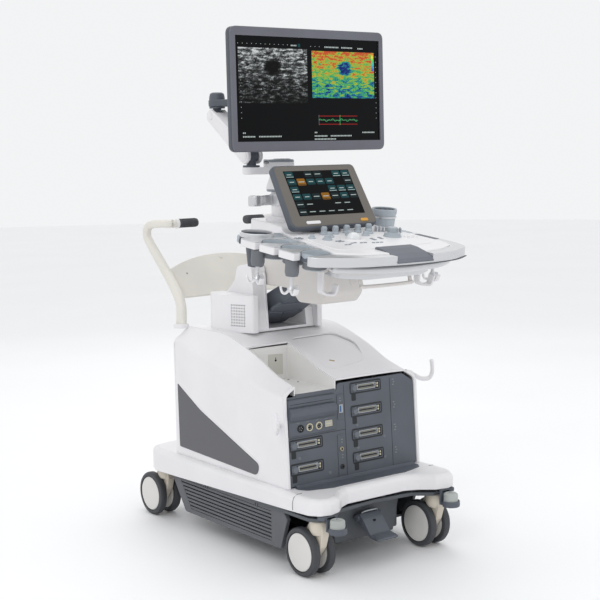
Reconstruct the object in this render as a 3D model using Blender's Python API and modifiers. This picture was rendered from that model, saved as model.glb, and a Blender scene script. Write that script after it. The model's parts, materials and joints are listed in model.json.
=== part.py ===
"""Ultrasound machine on a four-caster cart, modelled as separate sub-parts.

Run with: blender --background --python part.py

Metres, +Z up, floor at z = 0. The front, with the probe ports and the console,
faces -Y, and +X is to the right of someone who faces the front. Sizes are given
in cart coordinates (x = 0 on the plane of symmetry, y = 0 midway between the
wheel axles); FRAME_SHIFT then moves the whole cart so that the centre of its
bounding box stands over the origin.
"""

import math

import bmesh
import bpy
from mathutils import Matrix, Vector

# Driving dimensions ---------------------------------------------------------
FRAME_SHIFT = (-0.0170, 0.0611, 0.0)
GAP = 0.0003

WHEEL_R = 0.0625
WHEEL_W = 0.022
TWIN_GAP = 0.026
TRAIL = 0.037
WHEEL_FACETS = 24
SWIVEL_X = 0.195
SWIVEL_FRONT_Y = -0.397
SWIVEL_REAR_Y = 0.323
PLATE_LOW, PLATE_HIGH = 0.1503, 0.1597

BODY_HALF = 0.225
CREST_HALF = 0.190
BODY_LOW = 0.2095
WALL = 0.005
REAR_SPLIT_Y = 0.200
BAY = ((-0.183, -0.2862, 0.4443), (-0.055, -0.085, 0.56))

PANEL_LEAN = 3.5
PANEL_FOOT = (0.0, -0.305, 0.2125)
PORT_PITCH = 0.0610
PORT_RIGHT_X, PORT_LEFT_X = 0.045, -0.158
PORT_LOWEST = 0.043

DECK_TILT = 6.3
DECK_ORIGIN = (0.0, -0.175, 0.845)
DECK_THICK = 0.050

LIFT_LOW = (0.0, 0.070, 0.605)
LIFT_HIGH = (0.0, -0.085, 0.685)
CONSOLE_SWIVEL = (0.0, -0.100, 0.7755)
CARRIER_HALF = 0.062

TOUCH_LEAN = 32.0
TOUCH_FOOT = (0.006, -0.230, 0.858)
TOUCH_HEIGHT = 0.187

POST_AXIS = (0.0, 0.0)
ARM_LOW, ARM_HIGH = 0.9905, 1.030
ELBOW = (-0.080, 0.030, 1.041)
WRIST = (-0.080, 0.190, 1.150)
ARM_HALF = 0.026
BARREL_HALF = 0.0155

MONITOR_FOOT = (0.0485, -0.075, 1.052)
MONITOR_LEAN = 1.0
MONITOR_W, MONITOR_H = 0.515, 0.323
TILT_AXIS = (0.0485, 0.012, 1.205)

CORNERS = {
    "front_left": (-1, SWIVEL_FRONT_Y),
    "front_right": (1, SWIVEL_FRONT_Y),
    "rear_left": (-1, SWIVEL_REAR_Y),
    "rear_right": (1, SWIVEL_REAR_Y),
}


# Scene ----------------------------------------------------------------------
def clear_scene():
    for obj in list(bpy.data.objects):
        bpy.data.objects.remove(obj, do_unlink=True)
    for name, hidden in (("ultrasound_machine", False), ("cutters", True)):
        collection = bpy.data.collections.new(name)
        collection.hide_render = hidden
        bpy.context.scene.collection.children.link(collection)
    root = bpy.data.objects.new("cart_origin", None)
    root.location = FRAME_SHIFT
    bpy.data.collections["ultrasound_machine"].objects.link(root)
    return root


def linear(channel):
    return channel / 12.92 if channel <= 0.04045 else ((channel + 0.055) / 1.055) ** 2.4


def material(name, hex_colour, roughness=0.45, metallic=0.0):
    if name in bpy.data.materials:
        return bpy.data.materials[name]
    made = bpy.data.materials.new(name)
    made.use_nodes = True
    shader = made.node_tree.nodes["Principled BSDF"]
    rgb = [linear(int(hex_colour[i : i + 2], 16) / 255) for i in (0, 2, 4)]
    shader.inputs["Base Color"].default_value = (*rgb, 1.0)
    shader.inputs["Roughness"].default_value = roughness
    shader.inputs["Metallic"].default_value = metallic
    made.diffuse_color = (*rgb, 1.0)
    return made


MATERIALS = {
    "white": ("white_abs", "e6e5e8", 0.4, 0.0),
    "cream": ("cream_abs", "d8d3c8", 0.45, 0.0),
    "beige": ("beige_nylon", "c9bba9", 0.5, 0.0),
    "dark": ("dark_grey_abs", "5f6269", 0.5, 0.0),
    "grey": ("mid_grey_abs", "6b6968", 0.5, 0.0),
    "bezel": ("blue_grey_paint", "6b6e78", 0.4, 0.0),
    "dish": ("blue_grey_dish", "9aa3aa", 0.4, 0.0),
    "silver": ("silver_paint", "c9cacd", 0.35, 0.6),
    "rubber": ("black_rubber", "3b3a3f", 0.7, 0.0),
    "tyre": ("caster_tread", "3b3a3f", 0.6, 0.0),
    "screen": ("screen_glass", "050507", 0.1, 0.0),
    "steel": ("zinc_plated_steel", "a5a7aa", 0.35, 0.9),
}


# Mesh helpers ---------------------------------------------------------------
def add(name, mesh, finish, hidden=False):
    """Puts a mesh in the scene as one named piece, or as a hidden cutter."""
    obj = bpy.data.objects.new(name, mesh)
    group = "cutters" if hidden else "ultrasound_machine"
    bpy.data.collections[group].objects.link(obj)
    obj.parent = ROOT
    if hidden:
        hide(obj)
    else:
        mesh.materials.clear()
        mesh.materials.append(material(*MATERIALS[finish]))
    return obj


def hide(obj):
    obj.hide_render = True
    obj.display_type = "WIRE"


def box_mesh(low, high):
    bm = bmesh.new()
    bmesh.ops.create_cube(bm, size=1.0)
    low, high = Vector(low), Vector(high)
    size = Matrix.Diagonal((*(high - low), 1.0))
    bmesh.ops.transform(bm, matrix=Matrix.Translation((low + high) / 2) @ size, verts=bm.verts)
    return to_mesh(bm)


def to_mesh(bm):
    bmesh.ops.recalc_face_normals(bm, faces=bm.faces)
    mesh = bpy.data.meshes.new("piece")
    bm.to_mesh(mesh)
    bm.free()
    return mesh


AXIS_TURN = {
    "x": Matrix.Rotation(math.radians(90), 4, "Y"),
    "y": Matrix.Rotation(math.radians(-90), 4, "X"),
    "z": Matrix.Identity(4),
}


def rod_mesh(start, axis, length, radius, end_radius=None, segments=20):
    """A cylinder or cone from start along a positive axis."""
    bm = bmesh.new()
    end_radius = radius if end_radius is None else end_radius
    bmesh.ops.create_cone(
        bm, cap_ends=True, segments=segments, radius1=radius, radius2=end_radius, depth=length
    )
    lift = Matrix.Translation((0, 0, length / 2))
    place = Matrix.Translation(start) @ AXIS_TURN[axis] @ lift
    bmesh.ops.transform(bm, matrix=place, verts=bm.verts)
    mesh = to_mesh(bm)
    mesh.shade_smooth()
    mesh.set_sharp_from_angle(angle=math.radians(35))
    return mesh


def curve_to_mesh(curve):
    """Evaluates a temporary curve to a closed mesh and removes the curve."""
    temp = bpy.data.objects.new("temp_curve", curve)
    bpy.context.scene.collection.objects.link(temp)
    bpy.context.view_layer.update()
    graph = bpy.context.evaluated_depsgraph_get()
    mesh = bpy.data.meshes.new_from_object(temp.evaluated_get(graph))
    bpy.data.objects.remove(temp, do_unlink=True)
    bpy.data.curves.remove(curve)
    bm = bmesh.new()
    bm.from_mesh(mesh)
    bmesh.ops.remove_doubles(bm, verts=bm.verts, dist=1e-6)
    bmesh.ops.dissolve_limit(
        bm, angle_limit=math.radians(0.2), verts=bm.verts, edges=bm.edges
    )
    bpy.data.meshes.remove(mesh)
    return to_mesh(bm)


def outline_mesh(outline, low, high, axis="z"):
    """A flat outline extruded from low to high. Axis z takes (x, y), axis x takes (y, z) and
    axis y takes (x, z) points."""
    curve = bpy.data.curves.new("outline", "CURVE")
    curve.dimensions = "2D"
    curve.fill_mode = "BOTH"
    curve.extrude = (high - low) / 2
    spline = curve.splines.new("POLY")
    spline.points.add(len(outline) - 1)
    for point, (u, v) in zip(spline.points, outline):
        point.co = (u, v, 0.0, 1.0)
    spline.use_cyclic_u = True
    mesh = curve_to_mesh(curve)
    middle = (low + high) / 2
    columns = {
        "z": ((1, 0, 0), (0, 1, 0), (0, 0, 1)),
        "x": ((0, 1, 0), (0, 0, 1), (1, 0, 0)),
        "y": ((1, 0, 0), (0, 0, 1), (0, -1, 0)),
    }[axis]
    turn = Matrix(columns).transposed().to_4x4()
    offset = middle if axis != "y" else -middle
    mesh.transform(turn @ Matrix.Translation((0, 0, offset)))
    return mesh


def rounded(corners, radius, steps=3):
    """Replaces each corner of a closed outline by an arc of up to the given radius."""
    result = []
    count = len(corners)
    for i in range(count):
        corner = Vector(corners[i])
        back = Vector(corners[i - 1]) - corner
        ahead = Vector(corners[(i + 1) % count]) - corner
        turn = back.angle(ahead)
        cut = min(radius / math.tan(turn / 2), 0.45 * back.length, 0.45 * ahead.length)
        start = corner + back.normalized() * cut
        end = corner + ahead.normalized() * cut
        for step in range(steps + 1):
            t = step / steps
            point = start * (1 - t) ** 2 + corner * 2 * t * (1 - t) + end * t**2
            result.append((point.x, point.y))
    return result


def arc(centre, radius, first, last, steps):
    """Points on a circle, angles in degrees."""
    points = []
    for step in range(steps + 1):
        angle = math.radians(first + (last - first) * step / steps)
        points.append((centre[0] + radius * math.cos(angle), centre[1] + radius * math.sin(angle)))
    return points


def link_outline(start, start_radius, end, end_radius, steps=6):
    """The outline of a link with round ends."""
    heading = math.degrees(math.atan2(end[1] - start[1], end[0] - start[0]))
    near = arc(start, start_radius, heading + 90, heading + 270, steps)
    far = arc(end, end_radius, heading - 90, heading + 90, steps)
    return near + far


def mirrored(half):
    """A closed outline from its x >= 0 half, listed from rear centre to front centre."""
    return half + [(-x, y) for x, y in reversed(half) if x > 1e-6]


def tube_mesh(points, radius, resolution=2):
    curve = bpy.data.curves.new("route", "CURVE")
    curve.dimensions = "3D"
    curve.bevel_depth = radius
    curve.bevel_resolution = resolution
    curve.use_fill_caps = True
    spline = curve.splines.new("POLY")
    spline.points.add(len(points) - 1)
    for point, place in zip(spline.points, points):
        point.co = (*place, 1.0)
    mesh = curve_to_mesh(curve)
    mesh.shade_smooth()
    mesh.set_sharp_from_angle(angle=math.radians(50))
    return mesh


def smooth_path(points, steps=4):
    """Points of a Catmull-Rom curve through the given ones."""
    points = [Vector(p) for p in points]
    path = [points[0]]
    for i in range(len(points) - 1):
        a = points[max(i - 1, 0)]
        b, c = points[i], points[i + 1]
        d = points[min(i + 2, len(points) - 1)]
        for step in range(1, steps + 1):
            t = step / steps
            path.append(
                0.5 * (2 * b + (c - a) * t + (2 * a - 5 * b + 4 * c - d) * t**2
                       + (3 * b - a - 3 * c + d) * t**3)
            )
    return path


def turned(name, profile, centre, finish, steps=20, axis="z", cyclic=True, spin=0.0):
    """A turned shape: the profile's (radius, height) points run down its outer side."""
    bm = bmesh.new()
    verts = [bm.verts.new((r, 0.0, h)) for r, h in profile]
    for first, second in zip(verts, verts[1:]):
        bm.edges.new((first, second))
    if cyclic:
        bm.edges.new((verts[-1], verts[0]))
    mesh = bpy.data.meshes.new(name)
    bm.to_mesh(mesh)
    bm.free()
    obj = add(name, mesh, finish)
    screw = obj.modifiers.new("turn", "SCREW")
    screw.steps = screw.render_steps = steps
    screw.use_merge_vertices = True
    screw.merge_threshold = 0.0001
    screw.use_smooth_shade = True
    obj.matrix_local = Matrix.Translation(centre) @ AXIS_TURN[axis] @ Matrix.Rotation(spin, 4, "Z")
    return obj


def piece(name, mesh, finish, place=None, pivot=None):
    """A piece whose mesh is given in cart coordinates, or in those of a tilted frame, and whose
    origin is then set on its pivot."""
    if place is not None:
        mesh.transform(place)
    if pivot is not None:
        mesh.transform(Matrix.Translation(-Vector(pivot)))
    obj = add(name, mesh, finish)
    if pivot is not None:
        obj.location = pivot
    return obj


def bevel(obj, width, segments=2, angle=40):
    mod = obj.modifiers.new("edges", "BEVEL")
    mod.width = width
    mod.segments = segments
    mod.limit_method = "ANGLE"
    mod.angle_limit = math.radians(angle)
    return obj


def boolean(obj, mesh, operation, place=None):
    if place is not None:
        mesh.transform(place)
    tool = add(f"{obj.name}_{operation.lower()}", mesh, None, hidden=True)
    mod = obj.modifiers.new(operation.lower(), "BOOLEAN")
    mod.operation = operation
    mod.object = tool
    mod.solver = "EXACT"
    return obj


def cut(obj, mesh, place=None):
    return boolean(obj, mesh, "DIFFERENCE", place)


def join(obj, mesh, place=None):
    return boolean(obj, mesh, "UNION", place)


def keep(obj, mesh, place=None):
    return boolean(obj, mesh, "INTERSECT", place)


def leaning(foot, degrees):
    """A frame at foot, whose z axis leans back from vertical by the given angle."""
    return Matrix.Translation(foot) @ Matrix.Rotation(math.radians(-degrees), 4, "X")


# Casters --------------------------------------------------------------------
def caster(corner, side, swivel_y):
    swivel = Vector((side * SWIVEL_X, swivel_y, 0.150))
    axle = Vector((side * SWIVEL_X, swivel_y + TRAIL, WHEEL_R))
    profile = [
        (-0.024, 0.140), (-0.026, 0.112), (-0.016, 0.080), (0.010, 0.048), (0.030, 0.040),
        (0.050, 0.044), (0.058, 0.0625), (0.055, 0.090), (0.030, 0.136), (0.010, 0.1495),
        (-0.015, 0.1495),
    ]
    outline = [(swivel_y + y, z) for y, z in profile]
    half = TWIN_GAP / 2 - 0.0015
    fork = piece(
        f"caster_fork_{corner}",
        outline_mesh(outline, swivel.x - half, swivel.x + half, "x"),
        "beige",
        pivot=swivel,
    )
    join(fork, rod_mesh((swivel.x, swivel.y, 0.132), "z", 0.0178, 0.024))
    join(fork, rod_mesh((swivel.x, swivel.y, 0.140), "z", 0.030, 0.012, segments=16))
    cut(fork, rod_mesh((axle.x - 0.03, axle.y, axle.z), "x", 0.06, 0.0062, segments=16))

    inner, outer = TWIN_GAP / 2, TWIN_GAP / 2 + WHEEL_W
    tread = WHEEL_R / math.cos(math.pi / WHEEL_FACETS)
    wheel = [(0.048, outer), (0.0585, outer), (tread, outer - 0.004), (tread, inner + 0.004),
             (0.0585, inner), (0.016, inner + 0.003), (0.005, inner)]
    spool = [(0.0, outer - 0.002)] + wheel
    spool += [(r, -h) for r, h in reversed(wheel)] + [(0.0, -(outer - 0.002))]
    turned(f"caster_wheels_{corner}", spool, axle, "tyre", steps=WHEEL_FACETS, axis="x",
           cyclic=False, spin=math.pi / WHEEL_FACETS)


# Cart base ------------------------------------------------------------------
BASE_HALF_OUTLINE = [
    (0.0, 0.365), (0.165, 0.365), (0.224, 0.350), (0.243, 0.305), (0.243, -0.330),
    (0.240, -0.410), (0.222, -0.440), (0.195, -0.447), (0.162, -0.437), (0.128, -0.405),
    (0.095, -0.388), (0.0, -0.388),
]
BASE_TOP = 0.209
BASE_REAR_LOW, BASE_SLOPE = 0.1420, 0.0347


def base_low(y):
    """Height of the base moulding's lower edge, which rises towards the front."""
    return BASE_REAR_LOW + (0.365 - y) * BASE_SLOPE


def shrunk(outline, inset):
    """The outline with each point moved inwards, for outlines that bulge."""
    count = len(outline)
    result = []
    for i in range(count):
        before, here, after = (Vector(outline[(i + k) % count]) for k in (-1, 0, 1))
        along = (after - before).normalized()
        result.append(tuple(here + Vector((along.y, -along.x)) * inset))
    return result


def base_cover():
    outline = mirrored(BASE_HALF_OUTLINE)
    mesh = outline_mesh(outline, 0.150, BASE_TOP)
    for vertex in mesh.vertices:
        if vertex.co.z < 0.17:
            vertex.co.z = base_low(vertex.co.y)
    cover = bevel(piece("base_cover", mesh, "white"), 0.006, 2, 50)
    cut(cover, outline_mesh(shrunk(outline, WALL), 0.10, BASE_TOP - 0.004))


def chassis():
    half = [(0.0, 0.352), (0.160, 0.352), (0.214, 0.338), (0.232, 0.298), (0.232, -0.400),
            (0.214, -0.428), (0.165, -0.424), (0.120, -0.388), (0.0, -0.376)]
    frame = piece("chassis", outline_mesh(mirrored(half), PLATE_LOW, PLATE_HIGH), "dark")
    tray_top = PLATE_LOW + 0.002
    for side in (-1, 1):
        rail = sorted((side * 0.088, side * 0.100))
        join(frame, box_mesh((rail[0], -0.330, 0.060), (rail[1], 0.200, tray_top)))
    join(frame, box_mesh((-0.2065, -0.270, 0.058), (0.2065, 0.180, 0.0635)))
    skirt = [(-0.098, 0.052), (0.098, 0.052), (0.104, tray_top), (-0.104, tray_top)]
    join(frame, outline_mesh(skirt, -0.338, -0.328, "y"))
    for side, swivel_y in CORNERS.values():
        cut(frame, rod_mesh((side * SWIVEL_X, swivel_y, 0.145), "z", 0.02, 0.0135, segments=16))


def vent_skirts():
    outline = rounded(
        [(0.180, 0.047), (0.243, 0.135), (0.243, 0.149), (-0.285, 0.149), (-0.300, 0.130),
         (-0.270, 0.047)], 0.008, 2)
    for name, side in (("left", -1), ("right", 1)):
        low, high = sorted((side * 0.2072, side * 0.2220))
        skirt = piece(f"vent_skirt_{name}", outline_mesh(outline, low, high, "x"), "grey")
        low, high = sorted((side * 0.2000, side * 0.2170))
        cut(skirt, box_mesh((low, -0.255, 0.066), (high, 0.175, 0.140)))


def bumpers():
    for name, side in (("left", -1), ("right", 1)):
        x, y = side * 0.190, -0.463
        side_view = [(-0.421, 0.1600), (-0.421, 0.1680), (-0.4425, 0.1680), (-0.4425, 0.1330),
                     (-0.478, 0.1330), (-0.478, 0.1280), (-0.437, 0.1280), (-0.437, 0.1600)]
        outline = outline_mesh(side_view, x - 0.016, x + 0.016, "x")
        bracket = piece(f"bumper_bracket_{name}", outline, "dark")
        join(bracket, rod_mesh((x, y, 0.1300), "z", 0.0350, 0.0045, segments=12))
        join(bracket, rod_mesh((x, y, 0.1610), "z", 0.0040, 0.0090, segments=12))
        tyre = [(0.0055, 0.0130), (0.0160, 0.0130), (0.0190, 0.0100), (0.0190, -0.0100),
                (0.0160, -0.0130), (0.0055, -0.0130)]
        turned(f"bumper_roller_{name}", tyre, (x, y, 0.1460), "rubber", steps=20)


def brake_pedal():
    pivot = (0.0, -0.352, 0.112)
    tread = rounded([(-0.352, 0.122), (-0.352, 0.102), (-0.425, 0.066), (-0.432, 0.074),
                     (-0.400, 0.094)], 0.004, 2)
    pedal = piece("brake_pedal", outline_mesh(tread, -0.034, 0.034, "x"), "dark", pivot=pivot)
    join(pedal, rod_mesh((-0.040, -0.352, 0.112), "x", 0.080, 0.0095, segments=16))


# Body -----------------------------------------------------------------------
# Stations from rear to front: (y at the base, y at the crest, crease height, crest height).
BODY_STATIONS = [
    (0.2150, 0.2100, 0.535, 0.557),
    (0.2000, 0.1900, 0.532, 0.567),
    (0.0900, 0.0900, 0.507, 0.567),
    (0.0200, 0.0200, 0.493, 0.565),
    (-0.0350, -0.0350, 0.483, 0.553),
    (-0.0930, -0.0930, 0.472, 0.535),
    (-0.1480, -0.1480, 0.462, 0.515),
    (-0.2130, -0.2130, 0.451, 0.486),
    (-0.3050, -0.2905, 0.441, 0.464),
]


def body_form():
    """The body's outer skin, open below and at the front: a loft of arched sections."""
    bm = bmesh.new()
    rings = []
    for base_y, crest_y, crease, crest in BODY_STATIONS:
        lean = (crest_y - base_y) * (crease - BODY_LOW) / (crest - BODY_LOW)
        half = [(BODY_HALF - 0.002, base_y, BODY_LOW), (BODY_HALF, base_y + lean, crease),
                (CREST_HALF, crest_y, crest)]
        ring = half + [(-x, y, z) for x, y, z in reversed(half)]
        rings.append([bm.verts.new(point) for point in ring])
    for first, second in zip(rings, rings[1:]):
        for i in range(len(first) - 1):
            bm.faces.new((first[i], first[i + 1], second[i + 1], second[i]))
    bm.faces.new(rings[0])
    return to_mesh_outward(bm)


def to_mesh_outward(bm):
    """An open skin whose normals point away from the body's middle."""
    bmesh.ops.recalc_face_normals(bm, faces=bm.faces)
    top = max(bm.faces, key=lambda face: face.calc_center_median().z)
    if top.normal.z < 0:
        bmesh.ops.reverse_faces(bm, faces=bm.faces)
    mesh = bpy.data.meshes.new("skin")
    bm.to_mesh(mesh)
    bm.free()
    return mesh


def cover(name, low, high):
    """The stretch of the body's skin that lies inside a box, as a moulded shell."""
    shell = piece(name, body_form(), "white")
    solid = shell.modifiers.new("wall", "SOLIDIFY")
    solid.thickness = WALL
    solid.offset = -1
    solid.use_even_offset = True
    keep(shell, box_mesh(low, high))
    return shell


def body_covers():
    split = CREST_HALF - 0.003
    front, far = -0.40, 0.40
    cover("side_cover_left", (-far, front, 0.0), (-split - GAP, REAR_SPLIT_Y, 1.0))
    cover("side_cover_right", (split + GAP, front, 0.0), (far, REAR_SPLIT_Y, 1.0))
    cover("rear_cover", (-far, REAR_SPLIT_Y + GAP, 0.0), (far, far, 1.0))
    top = cover("top_cover", (-split, front, 0.0), (split, REAR_SPLIT_Y, 1.0))
    low, high = Vector(BAY[0]), Vector(BAY[1])
    under = low.z - 0.003
    bay = [(low.y, under), (high.y + 0.003, under), (high.y + 0.003, 0.529), (-0.148, 0.512),
           (-0.213, 0.483), (low.y, 0.4610)]
    join(top, outline_mesh(bay, low.x - 0.003, high.x + 0.003, "x"))
    cut(top, box_mesh((low.x, -0.320, low.z), tuple(high)))


def interior():
    cage = piece("card_cage", box_mesh((-0.175, -0.165, 0.2100), (0.175, 0.110, 0.4300)), "steel")
    cut(cage, box_mesh((-0.172, -0.180, 0.2130), (0.172, 0.107, 0.4270)))
    for x in (-0.086, 0.0, 0.086):
        join(cage, box_mesh((x - 0.001, -0.160, 0.2120), (x + 0.001, 0.108, 0.4280)))
    supply = piece("power_supply", box_mesh((-0.150, 0.120, 0.2100), (0.150, 0.190, 0.3600)), "steel")
    cut(supply, box_mesh((-0.1475, 0.1225, 0.2125), (0.1475, 0.1875, 0.3700)))


# Port panel -----------------------------------------------------------------
def port_places():
    """Centres of the probe sockets on the panel, as (x, height above its foot)."""
    right = [(PORT_RIGHT_X, PORT_LOWEST + k * PORT_PITCH) for k in range(4)]
    left = [(PORT_LEFT_X, PORT_LOWEST + k * PORT_PITCH) for k in range(2)]
    return right + left


def port_panel():
    lean = leaning(PANEL_FOOT, PANEL_LEAN)
    step, top = 0.2280, 0.2455
    outline = [(-0.2165, 0.0), (0.2165, 0.0), (0.2165, 0.2165), (0.197, 0.232), (0.176, top),
               (-0.048, top), (-0.051, step), (-0.2165, step)]
    panel = piece("port_panel", outline_mesh(outline, 0.0, 0.004, "y"), "dark", lean)
    for x, z in port_places():
        cut(panel, box_mesh((x - 0.049, -0.01, z - 0.0105), (x + 0.049, 0.02, z + 0.0105)), lean)
    cut(panel, box_mesh((-0.2125, -0.01, 0.1275), (-0.0615, 0.02, 0.2225)), lean)

    plan = [(-0.210, 0.012), (0.120, 0.012), (0.120, 0.236), (-0.010, 0.236), (-0.010, 0.120),
            (-0.210, 0.120)]
    board = piece("port_board", outline_mesh(plan, 0.0140, 0.0165, "y"), "dark", lean)
    for x, z in port_places():
        join(board, box_mesh((x - 0.044, -0.002, z - 0.0075), (x + 0.044, 0.015, z + 0.0075)), lean)

    housing = box_mesh((-0.2120, -0.004, 0.1280), (-0.0620, 0.110, 0.2220))
    drive = piece("drive_unit", housing, "dark", lean)
    join(drive, box_mesh((-0.2110, -0.016, 0.1780), (-0.0630, 0.010, 0.1860)), lean)
    cut(drive, box_mesh((-0.209, 0.004, 0.1310), (-0.065, 0.120, 0.2190)), lean)


# Rear handle ----------------------------------------------------------------
GRIP_INNER, GRIP_OUTER = 0.0850, 0.1490
ARM_ROUTE = [
    (0.200, 0.214, 0.5750), (0.200, 0.214, 0.630), (0.200, 0.250, 0.680), (0.200, 0.303, 0.730),
    (0.202, 0.360, 0.785), (0.203, 0.383, 0.815), (0.202, 0.372, 0.842), (0.192, 0.335, 0.850),
    (0.176, 0.305, 0.850), (0.150, 0.303, 0.850),
]


def push_handle():
    arm = smooth_path(ARM_ROUTE, 2)
    frame = piece("handle_frame", tube_mesh(arm, 0.0125, 2), "cream")
    join(frame, tube_mesh([(-p[0], p[1], p[2]) for p in arm], 0.0125, 2))
    slope = Matrix.Translation((0, 0.2375, 0.640)) @ Matrix.Rotation(math.radians(-34), 4, "X")
    blade = [(-0.196, 0.0), (-0.06, 0.004), (0.06, 0.004), (0.196, 0.0), (0.196, 0.105)]
    blade += arc((0.0, -0.270), 0.410, 62, 118, 8) + [(-0.196, 0.105)]
    join(frame, outline_mesh(blade, -0.0035, 0.0035, "y"), slope)
    for side in (-1, 1):
        join(frame, rod_mesh((side * 0.200, 0.214, 0.5680), "z", 0.014, 0.020, segments=16))
    for name, side in (("left", -1), ("right", 1)):
        low = min(side * GRIP_INNER, side * GRIP_OUTER)
        rod = rod_mesh((low, 0.303, 0.850), "x", GRIP_OUTER - GRIP_INNER, 0.0145)
        grip = piece(f"handle_grip_{name}", rod, "rubber")
        bevel(grip, 0.004, 2, 60)


def cable_hooks():
    route = [(0.2310, -0.278, 0.372), (0.2440, -0.296, 0.360), (0.2600, -0.310, 0.362),
             (0.2660, -0.316, 0.380), (0.2640, -0.316, 0.408)]
    for name, side, back, rise in (("left", -1, 0.0, 0.0), ("right", 1, 0.0045, 0.075)):
        path = smooth_path([(side * x, y + back, z + rise) for x, y, z in route], 2)
        piece(f"cable_hook_{name}", tube_mesh(path, 0.0048, 2), "white")


# Column and lift ------------------------------------------------------------
def column():
    top = 0.5675
    plinth = [(-0.110, -0.018), (0.0900, -0.018), (0.0900, 0.150), (-0.110, 0.150)]
    base = piece("column_cover", outline_mesh(plinth, top, 0.5700), "white")
    post = [(-0.018, top), (0.150, top), (0.150, 0.640), (0.070, 0.700), (0.062, 0.738),
            (0.050, 0.745), (0.004, 0.745), (-0.004, 0.736)]
    join(base, outline_mesh(post, -0.1100, -0.0640, "x"))
    block = [(-0.018, top), (0.150, top), (0.150, 0.640), (0.060, 0.640), (-0.010, 0.622)]
    join(base, outline_mesh(block, 0.0640, 0.0900, "x"))
    join(base, box_mesh((-0.0700, 0.1180, top), (0.0700, 0.1500, 0.6400)))
    join(base, box_mesh((-0.0700, -0.0180, top), (0.0700, -0.0050, 0.5730)))
    half_speaker = [(0.0000, -0.034), (0.0180, -0.034), (0.0560, 0.053), (0.0560, 0.110),
                    (0.0400, 0.140), (0.0000, 0.140)]
    for name, side, inner in (("left", -1, 0.1103), ("right", 1, 0.0903)):
        plan = [(side * (inner + x), y) for x, y in half_speaker]
        speaker = piece(f"speaker_{name}", outline_mesh(plan, top, 0.668 if side < 0 else 0.645),
                        "white")
        bevel(speaker, 0.006, 2, 50)


def lift():
    low, high = LIFT_LOW, LIFT_HIGH
    outline = link_outline(low[1:], 0.033, high[1:], 0.024)
    piece("lift_arm", outline_mesh(outline, -0.048, 0.048, "x"), "dark", pivot=low)

    side = [(0.030, 0.690), (0.030, 0.775), (-0.265, 0.775), (-0.265, 0.680), (-0.240, 0.656),
            (-0.150, 0.656), (-0.110, 0.690)]
    carrier = piece(
        "arm_carrier", outline_mesh(side, -CARRIER_HALF, CARRIER_HALF, "x"), "beige", pivot=high
    )
    cut(carrier, box_mesh((-0.0525, -0.260, 0.6615), (0.0525, 0.040, 0.7700)))
    cut(carrier, box_mesh((-0.0525, -0.140, 0.6400), (0.0525, 0.040, 0.7000)))


# Console --------------------------------------------------------------------
DECK_RIGHT = [
    (0.0, 0.235), (0.110, 0.235), (0.132, 0.200), (0.166, 0.110), (0.205, 0.040),
    (0.205, -0.240), (0.190, -0.290), (0.120, -0.330), (0.0, -0.345),
]
HOLDER_EDGE = [(-0.172, -0.240), (-0.152, -0.120), (-0.140, -0.060), (-0.126, 0.000), (-0.110, 0.032)]
DECK_LEFT = [(-0.120, -0.330), (-0.190, -0.290), *HOLDER_EDGE, (-0.074, 0.085), (-0.066, 0.150),
             (-0.070, 0.235)]
DECK_OUTLINE = DECK_RIGHT + DECK_LEFT
PALM_HALF = 0.0575
HOOK_X = 0.160
CUP_Y = (-0.245, -0.165, -0.085)
CUP_X = -0.213
GEL_Y = -0.002


def deck_frame():
    return Matrix.Translation(DECK_ORIGIN) @ Matrix.Rotation(math.radians(DECK_TILT), 4, "X")


def cup_profile(outer, inner, top, bottom, wall=0.003):
    return [(outer, top), (outer, top - 0.006), (inner + wall, top - 0.012), (inner + wall, bottom),
            (0.0, bottom), (0.0, bottom + wall), (inner, bottom + wall), (inner, top)]


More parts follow.
